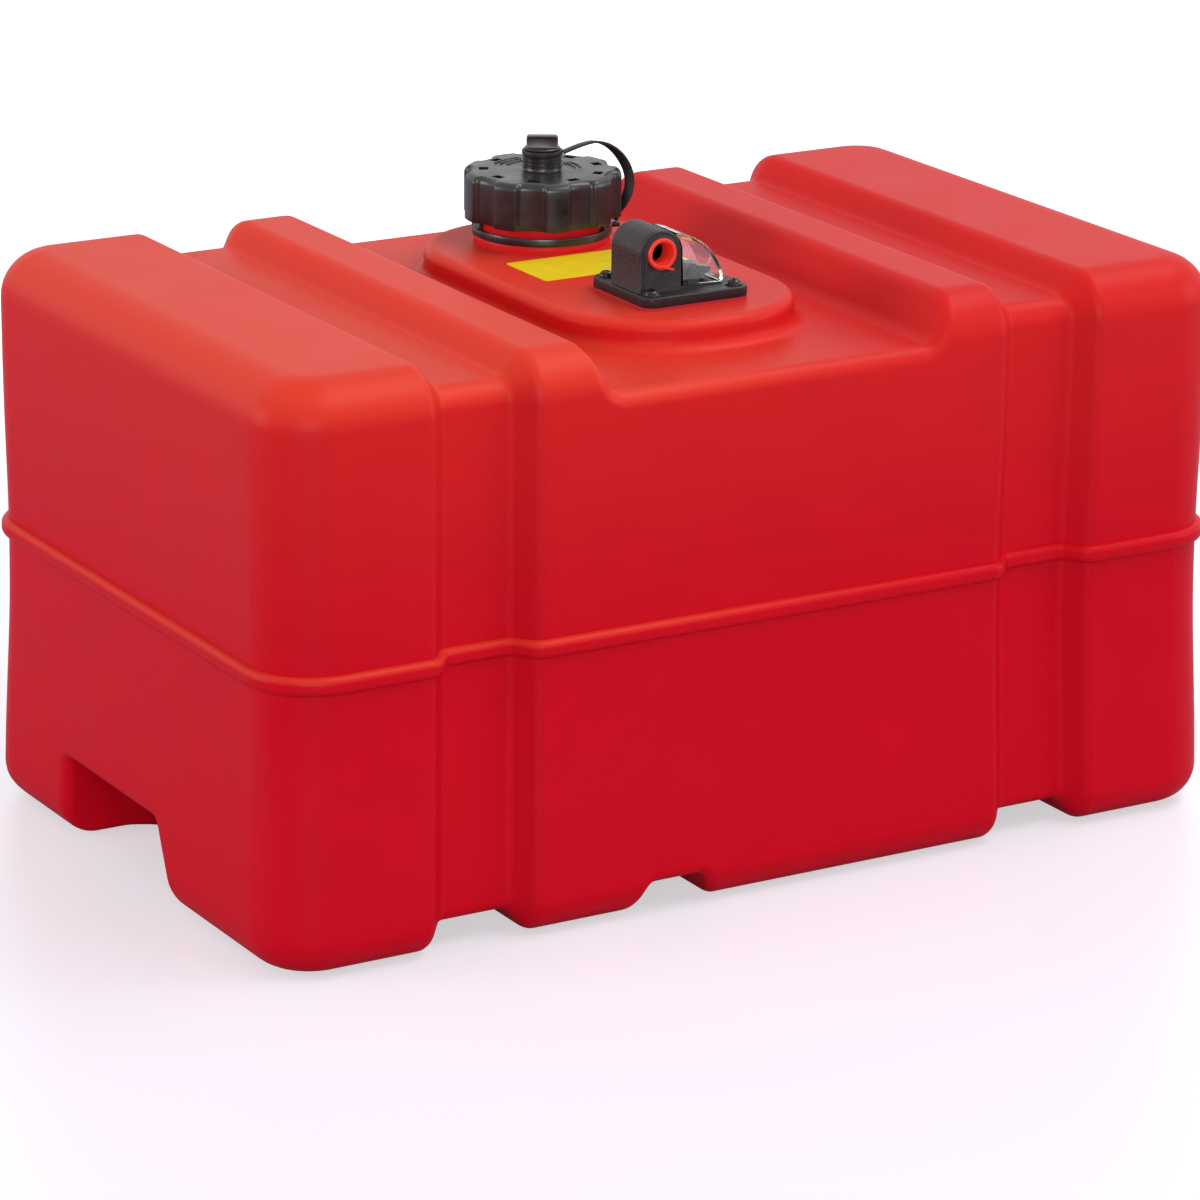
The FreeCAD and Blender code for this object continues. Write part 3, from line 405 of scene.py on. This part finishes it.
def makeTank():
    bm = joinedCopy("tank_shell")
    level = tankWalls["levelStep"]
    while level < tankWalls["levelTop"]:
        everything = bm.verts[:] + bm.edges[:] + bm.faces[:]
        bmesh.ops.bisect_plane(bm, geom=everything, dist=sliverWithin, plane_co=(0, 0, level),
                               plane_no=(0, 0, 1))
        level += tankWalls["levelStep"]
    for vert in bm.verts:
        vert.co.y += holdShift(vert.co.x, vert.co.y, vert.co.z)
        shift = wallShift(vert.co.z)
        vert.co.x *= 1 + shift / tankWalls["halfLength"]
        vert.co.y *= 1 + shift / tankWalls["halfWidth"]
    bmesh.ops.triangulate(bm, faces=[f for f in bm.faces if len(f.verts) > 3])
    tank = finishPiece(bm, "mouldedTank", "tank", materials["blowMouldedPolyethylene"], crispAbove["tank"],
                       fixNormals=False, even=True)
    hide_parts("tank_shell")


neckThread = {"centre": (0.0, 0.0705, 0.0), "root": 0.0353, "crest": 0.0373, "halfFoot": 0.0014,
              "halfCrest": 0.0006, "low": 0.3215, "pitch": 0.005, "turns": 2.25, "stepsPerTurn": 72,
              "start": -120}


def makeNeckThread():
    bm = bmesh.new()
    t = neckThread
    outline = [(t["root"], t["low"] - t["halfFoot"]), (t["crest"], t["low"] - t["halfCrest"]),
               (t["crest"], t["low"] + t["halfCrest"]), (t["root"], t["low"] + t["halfFoot"])]
    spinProfile(bm, outline, t["centre"], 360 * t["turns"], int(t["stepsPerTurn"] * t["turns"]),
                rise=t["pitch"] * t["turns"], start=t["start"])
    finishPiece(bm, "neckThread", "tank", materials["blowMouldedPolyethylene"], crispAbove["thread"])


# the ring's seat: a low step moulded round the neck's foot
neckStep = {"centre": (0.0, 0.0705, 0.0), "steps": 120,
            "outline": ((0.0352, 0.3050), (0.0381, 0.3050), (0.0381, 0.3070), (0.0378, 0.3077),
                        (0.0371, 0.3080), (0.0352, 0.3080))}


def makeNeckStep():
    bm = bmesh.new()
    spinProfile(bm, neckStep["outline"], neckStep["centre"], steps=neckStep["steps"])
    finishPiece(bm, "neckStep", "tank", materials["blowMouldedPolyethylene"], crispAbove["step"])


makeTank()
makeNeckThread()
makeNeckStep()
print("tank made")


capCentre = (0.0, 0.0705, 0.0)
capForm = {"radius": 0.0440, "foot": 0.3173, "top": 0.3435, "edge": 0.0040, "footEdge": 0.0006,
           "inner": 0.0383, "ceiling": 0.3400, "lobes": 9, "valleyTurn": 32.0, "valleyDepth": 0.0038,
           "valleyHalf": 10.2, "valleyRim": 1.6, "fadeFrom": 0.0352, "steps": 360,
           "slotInner": 0.0298, "slotOuter": 0.0350, "slotHalf": 5.6, "slotDepth": 0.0019,
           "wallSteps": 6, "edgeSteps": 7, "skirtSteps": 4, "hollow": 0.35, "level": 1e-5,
           "topRings": (0.0384, 0.0368, 0.0350, 0.0324, 0.0298, 0.0240, 0.0180),
           "skirtReach": 0.0003, "ceilingReach": 0.0001}
stemForm = {"radius": 0.0107, "shoulder": 0.3518, "neck": 0.0080, "top": 0.3544, "bore": 0.0040,
            "hole": 0.0015,
            "footRound": 0.0008, "topRound": 0.0004, "ribs": (0.3461, 0.3484, 0.3505), "ribProud": 0.0006,
            "ribHalf": 0.0006, "ribCrest": 0.45}


def capOutline():
    # the cap and its stem as one closed outline, from the foot outside round to the thread space
    c, s = capForm, stemForm
    footEdge, footRound = c["footEdge"] * roundMiddle, s["footRound"] * roundMiddle
    outline = [(c["inner"], c["foot"]), (c["radius"] - c["footEdge"], c["foot"]),
               (c["radius"] - footEdge, c["foot"] + footEdge), (c["radius"], c["foot"] + c["footEdge"])]
    outline += [(c["radius"], c["foot"] + (c["top"] - c["edge"] - c["foot"]) * k / c["wallSteps"])
                for k in range(1, c["wallSteps"])]
    for k in range(c["edgeSteps"] + 1):
        turn = math.radians(90.0 * k / c["edgeSteps"])
        outline.append((c["radius"] - c["edge"] * (1 - math.cos(turn)),
                        c["top"] - c["edge"] * (1 - math.sin(turn))))
    outline += [(r, c["top"]) for r in c["topRings"]]
    outline += [(s["radius"] + s["footRound"], c["top"]), (s["radius"] + footRound, c["top"] + footRound),
                (s["radius"], c["top"] + s["footRound"])]
    for height in s["ribs"]:
        proud, crest = s["radius"] + s["ribProud"], s["ribHalf"] * s["ribCrest"]
        outline += [(s["radius"], height - s["ribHalf"]), (proud, height - crest), (proud, height + crest),
                    (s["radius"], height + s["ribHalf"])]
    outline += [(s["radius"], s["shoulder"] - s["topRound"]), (s["radius"] - s["topRound"], s["shoulder"]),
                (s["neck"], s["shoulder"]), (s["neck"], s["top"]), (s["bore"], s["top"]), (s["bore"], c["top"]),
                (s["hole"], c["top"]), (s["hole"], c["ceiling"]), (c["inner"], c["ceiling"])]
    outline += [(c["inner"], c["ceiling"] - (c["ceiling"] - c["foot"]) * k / c["skirtSteps"])
                for k in range(1, c["skirtSteps"])]
    return outline


def fromValley(angle):
    # degrees between this angle and the middle of the nearest valley
    pitch = 360.0 / capForm["lobes"]
    return abs((angle - capForm["valleyTurn"] + pitch / 2) % pitch - pitch / 2)


def valleyPull(angle):
    # how much of the valley's depth a point at this angle gets: a hollow arc with rounded rims
    c = capForm
    away = fromValley(angle)
    if away >= c["valleyHalf"] + c["valleyRim"]:
        return 0.0
    hollow = 1 - c["hollow"] * (away / c["valleyHalf"]) ** 2
    fall = min(max((c["valleyHalf"] + c["valleyRim"] - away) / (2 * c["valleyRim"]), 0.0), 1.0)
    return hollow * fall * fall * (3 - 2 * fall)


def makeCap():
    c = capForm
    bm = bmesh.new()
    spinProfile(bm, capOutline(), (0, 0, 0), steps=c["steps"])
    for vert in bm.verts:
        r = math.hypot(vert.co.x, vert.co.y)
        inside = r < c["inner"] + c["skirtReach"] and vert.co.z < c["ceiling"] + c["ceilingReach"]
        if r <= c["fadeFrom"] or inside:
            continue
        share = min((r - c["fadeFrom"]) / (c["radius"] - c["edge"] - c["fadeFrom"]), 1.0)
        pull = c["valleyDepth"] * share * valleyPull(math.degrees(math.atan2(vert.co.y, vert.co.x)))
        vert.co.x *= 1 - pull / r
        vert.co.y *= 1 - pull / r
    pockets = []
    for face in bm.faces:
        middle = face.calc_center_median()
        r = math.hypot(middle.x, middle.y)
        away = fromValley(math.degrees(math.atan2(middle.y, middle.x)))
        onTop = abs(middle.z - c["top"]) < c["level"]
        if onTop and c["slotInner"] < r < c["slotOuter"] and away < c["slotHalf"]:
            pockets.append(face)
    sunk = bmesh.ops.extrude_face_region(bm, geom=pockets)["geom"]
    bmesh.ops.delete(bm, geom=pockets, context="FACES_ONLY")
    bmesh.ops.translate(bm, verts=[g for g in sunk if isinstance(g, bmesh.types.BMVert)],
                        vec=(0, 0, -c["slotDepth"]))
    bmesh.ops.translate(bm, verts=bm.verts, vec=capCentre)
    cap = finishPiece(bm, "fillerCap", "cap", materials["mouldedPolypropylene"], crispAbove["cap"])
    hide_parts("filler_cap")


# low ribs in two fans on the cap's top
capRibs = {"left": (88, 39, (0.0210, 0.0250, 0.0284)), "right": (-24, 48, (0.0182, 0.0214)),
           "width": 0.0012, "height": 0.0007, "sunk": 0.0003, "crest": 0.6, "steps": 28}


def makeCapRibs():
    bm = bmesh.new()
    half, top = capRibs["width"] / 2, capForm["top"]
    crest, foot, ridge = half * capRibs["crest"], top - capRibs["sunk"], top + capRibs["height"]
    for side in ("left", "right"):
        start, span, radii = capRibs[side]
        for radius in radii:
            part = bmesh.new()
            outline = [(radius - half, foot), (radius - crest, ridge),
                       (radius + crest, ridge), (radius + half, foot)]
            spinProfile(part, outline, capCentre, span, capRibs["steps"], start=start)
            addPart(bm, part)
    finishPiece(bm, "capFaceRibs", "cap", materials["mouldedPolypropylene"], crispAbove["ribs"])


# vent knob: a disc with a wing, whose broad faces are framed by a low border
knobForm = {"seat": 0.3545, "disc": 0.0100, "discHeight": 0.0013, "discRound": 0.0004, "length": 0.0175,
            "thickness": 0.0065, "height": 0.0063, "sunk": 0.0002, "turn": -30.0, "steps": 72,
            "corner": 0.0016, "cornerSegments": 5, "cornerAbove": 0.001, "edge": 0.0003, "edgeAbove": 0.0004,
            "frame": 0.0014, "frameDepth": 0.0005, "shank": 0.00392, "shankFoot": 0.34478}


def makeKnob():
    k = knobForm
    rim = k["seat"] + k["discHeight"]
    bm = bmesh.new()
    outline = [(0.0, k["shankFoot"]), (k["shank"], k["shankFoot"]), (k["shank"], k["seat"]),
               (k["disc"] - k["discRound"], k["seat"]), (k["disc"], k["seat"] + k["discRound"]),
               (k["disc"], rim - k["discRound"]), (k["disc"] - k["discRound"], rim), (0.0, rim)]
    spinSolid(bm, outline, k["steps"])
    wing = bmesh.new()
    block = bmesh.ops.create_cube(wing, size=1.0)
    size = Matrix.Diagonal((k["length"], k["thickness"], k["height"] + 2 * k["sunk"], 1))
    middle = Matrix.Translation((0, 0, rim - k["sunk"] + k["height"] / 2))
    bmesh.ops.transform(wing, verts=block["verts"], matrix=middle @ size)
    crests = [e for e in wing.edges if abs(e.verts[0].co.x - e.verts[1].co.x) < weldWithin
              and abs(e.verts[0].co.z - e.verts[1].co.z) < weldWithin
              and e.verts[0].co.z > rim + k["cornerAbove"]]
    bevelEdges(wing, crests, k["corner"], k["cornerSegments"])
    broad = [f for f in wing.faces if abs(f.normal.y) > 0.9]
    bmesh.ops.inset_individual(wing, faces=broad, thickness=k["frame"], depth=-k["frameDepth"])
    shown = [e for e in sharpEdges(wing, crispAbove["wing"])
             if max(v.co.z for v in e.verts) > rim + k["edgeAbove"]]
    bevelEdges(wing, shown, k["edge"])
    bmesh.ops.rotate(wing, verts=wing.verts, cent=(0, 0, 0),
                     matrix=Matrix.Rotation(math.radians(k["turn"]), 3, "Z"))
    addPart(bm, wing)
    bmesh.ops.translate(bm, verts=bm.verts, vec=capCentre)
    knob = finishPiece(bm, "ventKnob", "vent", materials["mouldedPolypropylene"], crispAbove["knob"])
    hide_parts("vent_knob")


# the strap's run as (distance from the stem, height) with a twist in degrees at each point
strapRun = {"turn": -12.0, "width": 0.0055, "thickness": 0.0013, "edge": 0.0003,
            "resolution": 12, "order": 3, "degreesPerMetre": 1000,
            "meetRadius": 0.0500, "liftRadius": 0.032, "footHold": 0.001, "meetHold": 0.0005,
            "route": ((0.0116, 0.3531), (0.0175, 0.3552), (0.0240, 0.3572), (0.0310, 0.3583),
                      (0.0382, 0.3560), (0.0442, 0.3510), (0.0487, 0.3443), (0.0511, 0.3373),
                      (0.0514, 0.3304), (0.0499, 0.3238), (0.0474, 0.3182), (0.0447, 0.3142),
                      (0.0444, 0.3109)),
            "twist": (0, 0, -2, -8, -20, -38, -55, -66, -68, -50, -18, -4, 0)}


def strapSamples():
    # the strap's centre line, read from a smooth spline along its route that carries the twist as its Y
    curve = bpy.data.curves.new("strapRoute", "CURVE")
    curve.dimensions = "3D"
    curve.resolution_u = strapRun["resolution"]
    spline = curve.splines.new("NURBS")
    spline.points.add(len(strapRun["route"]) - 1)
    for point, (r, z), twist in zip(spline.points, strapRun["route"], strapRun["twist"]):
        point.co = (r, twist / strapRun["degreesPerMetre"], z, 1.0)
    spline.order_u = strapRun["order"]
    spline.use_endpoint_u = True
    holder = bpy.data.objects.new("strapRoute", curve)
    line = bpy.data.meshes.new_from_object(holder)
    points = [(v.co.x, v.co.z, v.co.y * strapRun["degreesPerMetre"]) for v in line.vertices]
    bpy.data.objects.remove(holder)
    bpy.data.curves.remove(curve)
    bpy.data.meshes.remove(line)
    return points


def makeStrapHalf(name, rows):
    # a ribbon grown row by row along the centre line, then given its thickness
    bm = bmesh.new()
    half = strapRun["width"] / 2
    centre, across = rows[0]
    low, high = bm.verts.new(centre - across * half), bm.verts.new(centre + across * half)
    strip = bm.edges.new((low, high))
    for centre, across in rows[1:]:
        grown = bmesh.ops.extrude_edge_only(bm, edges=[strip])["geom"]
        strip = next(g for g in grown if isinstance(g, bmesh.types.BMEdge))
        low = next(v for v in strip.verts if any(e.other_vert(v) is low for e in v.link_edges))
        high = strip.other_vert(low)
        low.co = centre - across * half
        high.co = centre + across * half
    bmesh.ops.recalc_face_normals(bm, faces=bm.faces)
    bmesh.ops.solidify(bm, geom=bm.faces[:], thickness=strapRun["thickness"])
    bmesh.ops.recalc_face_normals(bm, faces=bm.faces)
    bevelEdges(bm, sharpEdges(bm, crispAbove["strapCorner"]), strapRun["edge"])
    placed = Matrix.Translation(capCentre) @ Matrix.Rotation(math.radians(strapRun["turn"]), 4, "Z")
    bmesh.ops.transform(bm, matrix=placed, verts=bm.verts)
    ribbon = finishPiece(bm, name, None, materials["flexibleStrap"], crispAbove["strap"])
    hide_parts("tether_strap")
    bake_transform(ribbon)


def makeStrap():
    points = strapSamples()
    rows = []
    for i, (r, z, twist) in enumerate(points):
        before, after = points[max(i - 1, 0)], points[min(i + 1, len(points) - 1)]
        heading = Vector((after[0] - before[0], 0, after[1] - before[1])).normalized()
        across = Matrix.Rotation(math.radians(twist), 4, heading) @ Vector((0, 1, 0))
        outward = across.cross(heading) * strapRun["thickness"] / 2
        rows.append((Vector((r, 0, z)) + outward, across))
    # the halves meet outside the cap's rim
    meet = next(i for i, (r, _, _) in enumerate(points) if r > strapRun["meetRadius"])
    r, z, _ = points[meet]
    makeStrapHalf("strapUpper", rows[:meet + 1])
    makeStrapHalf("strapLower", rows[meet:])


# the ring sits on its step, and its lugs stay clear of the cap
ringSeat = {"raise": 0.0020, "lugTop": 0.3166, "soften": 0.0004}


def makeRing():
    bm = joinedCopy("tether_ring")
    for vert in bm.verts:
        vert.co.z = min(vert.co.z + ringSeat["raise"], ringSeat["lugTop"])
    softenEdges(bm, ringSeat["soften"])
    ring = finishPiece(bm, "tetherRing", "tank", materials["mouldedPolypropylene"], crispAbove["plain"],
                       fixNormals=False)
    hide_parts("tether_ring")


makeCap()
makeCapRibs()
makeKnob()
makeRing()
dressNode("tether_eye", "tetherEye", "carrier", materials["flexibleStrap"], 0.0004)
makeStrap()
print("cap and tether made")


# the base plate is a little shallower than it is wide: its back edge and rear screws stand further in
plateTrim = {"from": -0.050, "back": 0.0040}
plateStack = (("gauge_body", "gaugeBody", "glassFilledNylon", 0.0005),
              ("gauge_gasket", "gaugeGasket", "redSheetRubber", 0.0))


def makePlateStack():
    for nodeName, pieceName, finishName, soften in plateStack:
        bm = joinedCopy(nodeName)
        for vert in bm.verts:
            if vert.co.y > plateTrim["from"]:
                vert.co.y -= plateTrim["back"]
        if soften:
            softenEdges(bm, soften)
        piece = finishPiece(bm, pieceName, "tank", materials[finishName], crispAbove["plain"],
                            fixNormals=False)
        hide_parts(nodeName)


# pan-head screws with a cross recess, each stopped at its own angle
screwHead = {"spacing": 0.051, "centre": (0.0, -0.065), "seat": 0.3105, "top": 0.0031,
             "outline": ((0.0, 0.0031), (0.0014, 0.0031), (0.0025, 0.0028), (0.0033, 0.0022),
                         (0.0038, 0.0014), (0.0040, 0.0008), (0.0046, 0.0007), (0.0048, 0.0004),
                         (0.0048, 0.0), (0.0023, 0.0), (0.0023, -0.0125), (0.0006, -0.0145), (0.0, -0.0145)),
             "steps": 40, "crossLength": 0.0042, "crossWidth": 0.0010, "crossDepth": 0.0014,
             "turns": {(-1, -1): 22, (1, -1): 61, (-1, 1): 5, (1, 1): 40}}


def makeScrewBlank():
    head = bmesh.new()
    spinSolid(head, screwHead["outline"], screwHead["steps"])
    headMesh = bpy.data.meshes.new("screwBlank")
    head.to_mesh(headMesh)
    head.free()
    cross = bmesh.new()
    size = Matrix.Diagonal((screwHead["crossLength"], screwHead["crossWidth"],
                            2 * screwHead["crossDepth"], 1))
    for turn in (0, 90):
        bar = bmesh.ops.create_cube(cross, size=1.0)
        bmesh.ops.transform(cross, verts=bar["verts"],
                            matrix=Matrix.Translation((0, 0, screwHead["top"]))
                            @ Matrix.Rotation(math.radians(turn), 4, "Z") @ size)
    crossMesh = bpy.data.meshes.new("screwCross")
    cross.to_mesh(crossMesh)
    cross.free()
    blank = bpy.data.objects.new("screwBlank", headMesh)
    cutter = bpy.data.objects.new("screwCross", crossMesh)
    scene.collection.objects.link(blank)
    scene.collection.objects.link(cutter)
    cut = blank.modifiers.new("crossRecess", "BOOLEAN")
    cut.object = cutter
    cut.operation = "DIFFERENCE"
    cut.use_self = True
    bpy.context.view_layer.update()
    done = bpy.data.meshes.new_from_object(blank.evaluated_get(bpy.context.evaluated_depsgraph_get()))
    bpy.data.objects.remove(blank)
    bpy.data.objects.remove(cutter)
    return done


def makeScrews():
    blank = makeScrewBlank()
    half = screwHead["spacing"] / 2
    middleX, middleY = screwHead["centre"]
    bm = bmesh.new()
    for (sideX, sideY), turn in screwHead["turns"].items():
        one = bmesh.new()
        one.from_mesh(blank)
        setBack = plateTrim["back"] if sideY > 0 else 0.0
        place = Matrix.Translation((middleX + sideX * half, middleY + sideY * half - setBack,
                                    screwHead["seat"]))
        bmesh.ops.transform(one, verts=one.verts, matrix=place @ Matrix.Rotation(math.radians(turn), 4, "Z"))
        addPart(bm, one)
    screws = finishPiece(bm, "panHeadScrews", "tank", materials["electrocoatedSteel"], crispAbove["screws"],
                         fixNormals=False)
    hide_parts("gauge_screws")


# open sleeve that guards the port: a flange with a flared mouth, and a thin pull tail across its foot
sleeveForm = {"x": -0.01695, "z": 0.331, "face": -0.0860, "steps": 72,
              "flange": 0.0086, "flangeDepth": 0.0016,
              "round": 0.0006, "body": 0.00645, "length": 0.0080, "lead": (0.0004, 0.0006),
              "mouth": 0.0064, "throat": 0.00515, "flare": 0.0030, "flareEnd": (0.0003, 0.0008),
              "tailFrom": (-0.0060, -0.0052), "tailTo": (0.0064, -0.0089), "tailWidth": 0.0011,
              "tailDepth": 0.0009, "tailSunk": 0.0006, "tailEdge": 0.0002}


def makeSleeve():
    # turned about Z with its mouth up, then laid down so that the mouth faces -Y
    s = sleeveForm
    front, back = s["flangeDepth"], -s["length"]
    edge, eased = s["round"] * roundMiddle, s["round"]
    (leadIn, leadUp), (flareIn, flareUp) = s["lead"], s["flareEnd"]
    outline = [(s["body"], 0.0), (s["flange"], 0.0), (s["flange"], front - eased),
               (s["flange"] - edge, front - edge), (s["flange"] - eased, front),
               (s["mouth"] + eased, front), (s["mouth"] + edge, front - edge), (s["mouth"], front - eased),
               (s["throat"] + flareIn, front - s["flare"]), (s["throat"], front - s["flare"] - flareUp),
               (s["throat"], back), (s["body"] - leadIn, back), (s["body"], back + leadUp)]
    bm = bmesh.new()
    spinProfile(bm, outline, (0, 0, 0), steps=s["steps"])
    tail = bmesh.new()
    bar = bmesh.ops.create_cube(tail, size=1.0)
    begin, finish = Vector(s["tailFrom"]), Vector(s["tailTo"])
    run = finish - begin
    size = Matrix.Diagonal((run.length, s["tailWidth"], s["tailDepth"] + s["tailSunk"], 1))
    middle = (begin + finish) / 2
    height = front + s["tailDepth"] / 2 - s["tailSunk"] / 2
    bmesh.ops.transform(tail, verts=bar["verts"],
                        matrix=Matrix.Translation((middle.x, middle.y, height))
                        @ Matrix.Rotation(math.atan2(run.y, run.x), 4, "Z") @ size)
    bevelEdges(tail, tail.edges[:], s["tailEdge"])
    addPart(bm, tail)
    laid = Matrix.Translation((s["x"], s["face"], s["z"])) @ Matrix.Rotation(math.radians(90), 4, "X")
    bmesh.ops.transform(bm, verts=bm.verts, matrix=laid)
    sleeve = finishPiece(bm, "portSleeve", "guard", materials["softPolyethyleneSleeve"],
                         crispAbove["sleeve"])
    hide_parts("port_guard")


# the lens swells a little between its foot and the tower
lensSwell = {"x": -0.0185, "z": 0.2983, "from": 17.0, "to": 76.0, "out": 0.0015}


def makeLens():
    bm = joinedCopy("gauge_lens")
    for vert in bm.verts:
        dx, dz = vert.co.x - lensSwell["x"], vert.co.z - lensSwell["z"]
        along = math.degrees(math.atan2(dz, dx)) - lensSwell["from"]
        along /= lensSwell["to"] - lensSwell["from"]
        if 0 < along < 1:
            out = lensSwell["out"] * math.sin(math.pi * along) / math.hypot(dx, dz)
            vert.co.x += dx * out
            vert.co.z += dz * out
    lens = finishPiece(bm, "gaugeLens", "tank", materials["clearPolycarbonate"], crispAbove["plain"],
                       fixNormals=False, even=True)
    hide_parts("gauge_lens")


makePlateStack()
makeLens()
dressNode("gauge_pointer", "levelPointer", "gauge_float", materials["mouldedPolypropylene"], 0.0003)
makeSleeve()
makeScrews()
print("gauge made")


# every node keeps its own finish, shown or not
nodeFinishes = {"cap_gasket": "nitrileRubber", "vent_seal": "nitrileRubber", "gauge_gasket": "redSheetRubber",
                "lens_seal": "nitrileRubber", "pivot_pin": "electrocoatedSteel", "float_arm": "drawnSteelWire",
                "float": "nitrileRubber", "float_clip": "drawnSteelWire", "pickup_tube": "naturalAcetal",
                "pickup_strainer": "naturalAcetal", "sticker": "yellowVinylFilm",
                "tank_shell": "blowMouldedPolyethylene", "filler_cap": "mouldedPolypropylene",
                "vent_knob": "mouldedPolypropylene", "tether_ring": "mouldedPolypropylene",
                "tether_eye": "flexibleStrap", "tether_strap": "flexibleStrap",
                "gauge_body": "glassFilledNylon", "gauge_screws": "electrocoatedSteel",
                "gauge_lens": "clearPolycarbonate", "gauge_pointer": "mouldedPolypropylene",
                "port_guard": "softPolyethyleneSleeve"}
for nodeName, finishName in nodeFinishes.items():
    paint(nodes[nodeName], materials[finishName])
print("nodes painted:", len(nodeFinishes))


# satin white sheet: it keeps the soft shadow beside the tank, its glow is weaker near the tank as painted shade
# round it, and it goes to white away from it
floorLook = {"sheet": "#A9A6B8", "rough": 0.35, "size": 14.0, "drop": 0.0004,
             "liftNear": 0.54, "liftFar": 1.0, "near": 0.55, "far": 1.5}


def paleFloorSheet():
    material, tree, shader = startMaterial("paleFloorSheet")
    shader.inputs["Base Color"].default_value = toLinear(floorLook["sheet"])
    shader.inputs["Roughness"].default_value = floorLook["rough"]
    output = next(n for n in tree.nodes if n.type == "OUTPUT_MATERIAL")
    place = addNode(tree, "ShaderNodeTexCoord")
    away = addNode(tree, "ShaderNodeVectorMath", settings={"operation": "LENGTH"},
                   links={0: place.outputs["Object"]})
    # painted shade: the glow is weaker near the tank and full away from it
    lift = addNode(tree, "ShaderNodeMapRange", settings={"interpolation_type": "SMOOTHSTEP"},
                   values={"From Min": floorLook["near"], "From Max": floorLook["far"],
                           "To Min": floorLook["liftNear"], "To Max": floorLook["liftFar"]},
                   links={"Value": away.outputs["Value"]})
    path = addNode(tree, "ShaderNodeLightPath")
    seen = addNode(tree, "ShaderNodeMath", settings={"operation": "MAXIMUM"},
                   links={0: path.outputs["Is Camera Ray"], 1: path.outputs["Is Transmission Ray"]})
    strength = addNode(tree, "ShaderNodeMath", settings={"operation": "MULTIPLY"},
                       links={0: seen.outputs[0], 1: lift.outputs["Result"]})
    glow = addNode(tree, "ShaderNodeEmission", links={"Strength": strength.outputs[0]})
    both = addNode(tree, "ShaderNodeAddShader",
                   links={0: shader.outputs["BSDF"], 1: glow.outputs["Emission"]})
    tree.links.new(both.outputs["Shader"], output.inputs["Surface"])
    return material


floorMesh = bmesh.new()
bmesh.ops.create_grid(floorMesh, x_segments=1, y_segments=1, size=floorLook["size"])
bmesh.ops.translate(floorMesh, verts=floorMesh.verts, vec=(0, 0, -floorLook["drop"]))
floor = finishPiece(floorMesh, "paleFloor", None, paleFloorSheet(), crispAbove["floor"], fixNormals=False)

# white to the camera and in reflections, and a weaker light on the part itself
skyLook = {"lighting": 0.40, "shown": 1.0}
world = scene.world or bpy.data.worlds.new("softWorld")
scene.world = world
world.use_nodes = True
backdrop = world.node_tree.nodes.get("Background")
backdrop.inputs["Color"].default_value = (1.0, 1.0, 1.0, 1.0)
rays = addNode(world.node_tree, "ShaderNodeLightPath")
mirrored = addNode(world.node_tree, "ShaderNodeMath", settings={"operation": "MAXIMUM"},
                   links={0: rays.outputs["Is Glossy Ray"], 1: rays.outputs["Is Transmission Ray"]})
shown = addNode(world.node_tree, "ShaderNodeMath", settings={"operation": "MAXIMUM"},
                links={0: rays.outputs["Is Camera Ray"], 1: mirrored.outputs[0]})
sky = addNode(world.node_tree, "ShaderNodeMapRange",
              values={"To Min": skyLook["lighting"], "To Max": skyLook["shown"]},
              links={"Value": shown.outputs[0]})
world.node_tree.links.new(sky.outputs["Result"], backdrop.inputs["Strength"])

# the lamp at the back lights the part from behind, and is kept out of the reflections on the tops
lamps = {
    "overheadBox": {"at": (0.9, -0.6, 2.2), "aim": (0.0, 0.0, 0.2), "size": (2.4, 0.7), "power": 31.0},
    "frontBox": {"at": (-1.6, -3.2, 1.1), "aim": (0.0, 0.0, 0.15), "size": (1.6, 1.2), "power": 53.0},
    "sideBox": {"at": (2.8, -1.6, 1.2), "aim": (0.0, 0.0, 0.15), "size": (1.2, 1.4), "power": 22.0},
    "leftBox": {"at": (-3.2, 1.2, 1.0), "aim": (0.0, 0.0, 0.15), "size": (1.4, 1.2), "power": 40.0},
    "backBox": {"at": (-1.6, 3.1, 0.9), "aim": (0.0, 0.0, 0.15), "size": (1.4, 1.0), "power": 18.0,
                "glossy": False},
}
for name, lamp in lamps.items():
    light = bpy.data.lights.new(name, "AREA")
    light.shape = "RECTANGLE"
    light.size, light.size_y = lamp["size"]
    light.energy = lamp["power"]
    holder = bpy.data.objects.new(name, light)
    holder.location = lamp["at"]
    holder.rotation_euler = (Vector(lamp["aim"]) - Vector(lamp["at"])).to_track_quat("-Z", "Y").to_euler()
    holder.visible_glossy = lamp.get("glossy", True)
    scene.collection.objects.link(holder)

viewpoint = {"at": (-1.4143, -2.3846, 0.9979), "yaw": 30.64, "pitch": 17.71, "roll": 0.57, "focal": 5240.0,
             "frame": 1200.0, "film": 36.0, "reach": 60.0}
yaw, pitch, roll = (math.radians(viewpoint[k]) for k in ("yaw", "pitch", "roll"))
ahead = Vector((math.sin(yaw) * math.cos(pitch), math.cos(yaw) * math.cos(pitch), -math.sin(pitch)))
level = Vector((math.cos(yaw), -math.sin(yaw), 0.0))
upright = level.cross(ahead)
right = level * math.cos(roll) + upright * math.sin(roll)
top = upright * math.cos(roll) - level * math.sin(roll)
turned = Matrix((right, top, -ahead)).transposed().to_4x4()
camera = bpy.data.cameras.new("viewCamera")
camera.sensor_width = viewpoint["film"]
camera.lens = viewpoint["focal"] / viewpoint["frame"] * viewpoint["film"]
camera.clip_end = viewpoint["reach"]
cameraHolder = bpy.data.objects.new("viewCamera", camera)
cameraHolder.matrix_world = Matrix.Translation(viewpoint["at"]) @ turned
scene.collection.objects.link(cameraHolder)
scene.camera = cameraHolder
scene.view_settings.view_transform = "Standard"
print("stage ready")

bpy.context.view_layer.update()
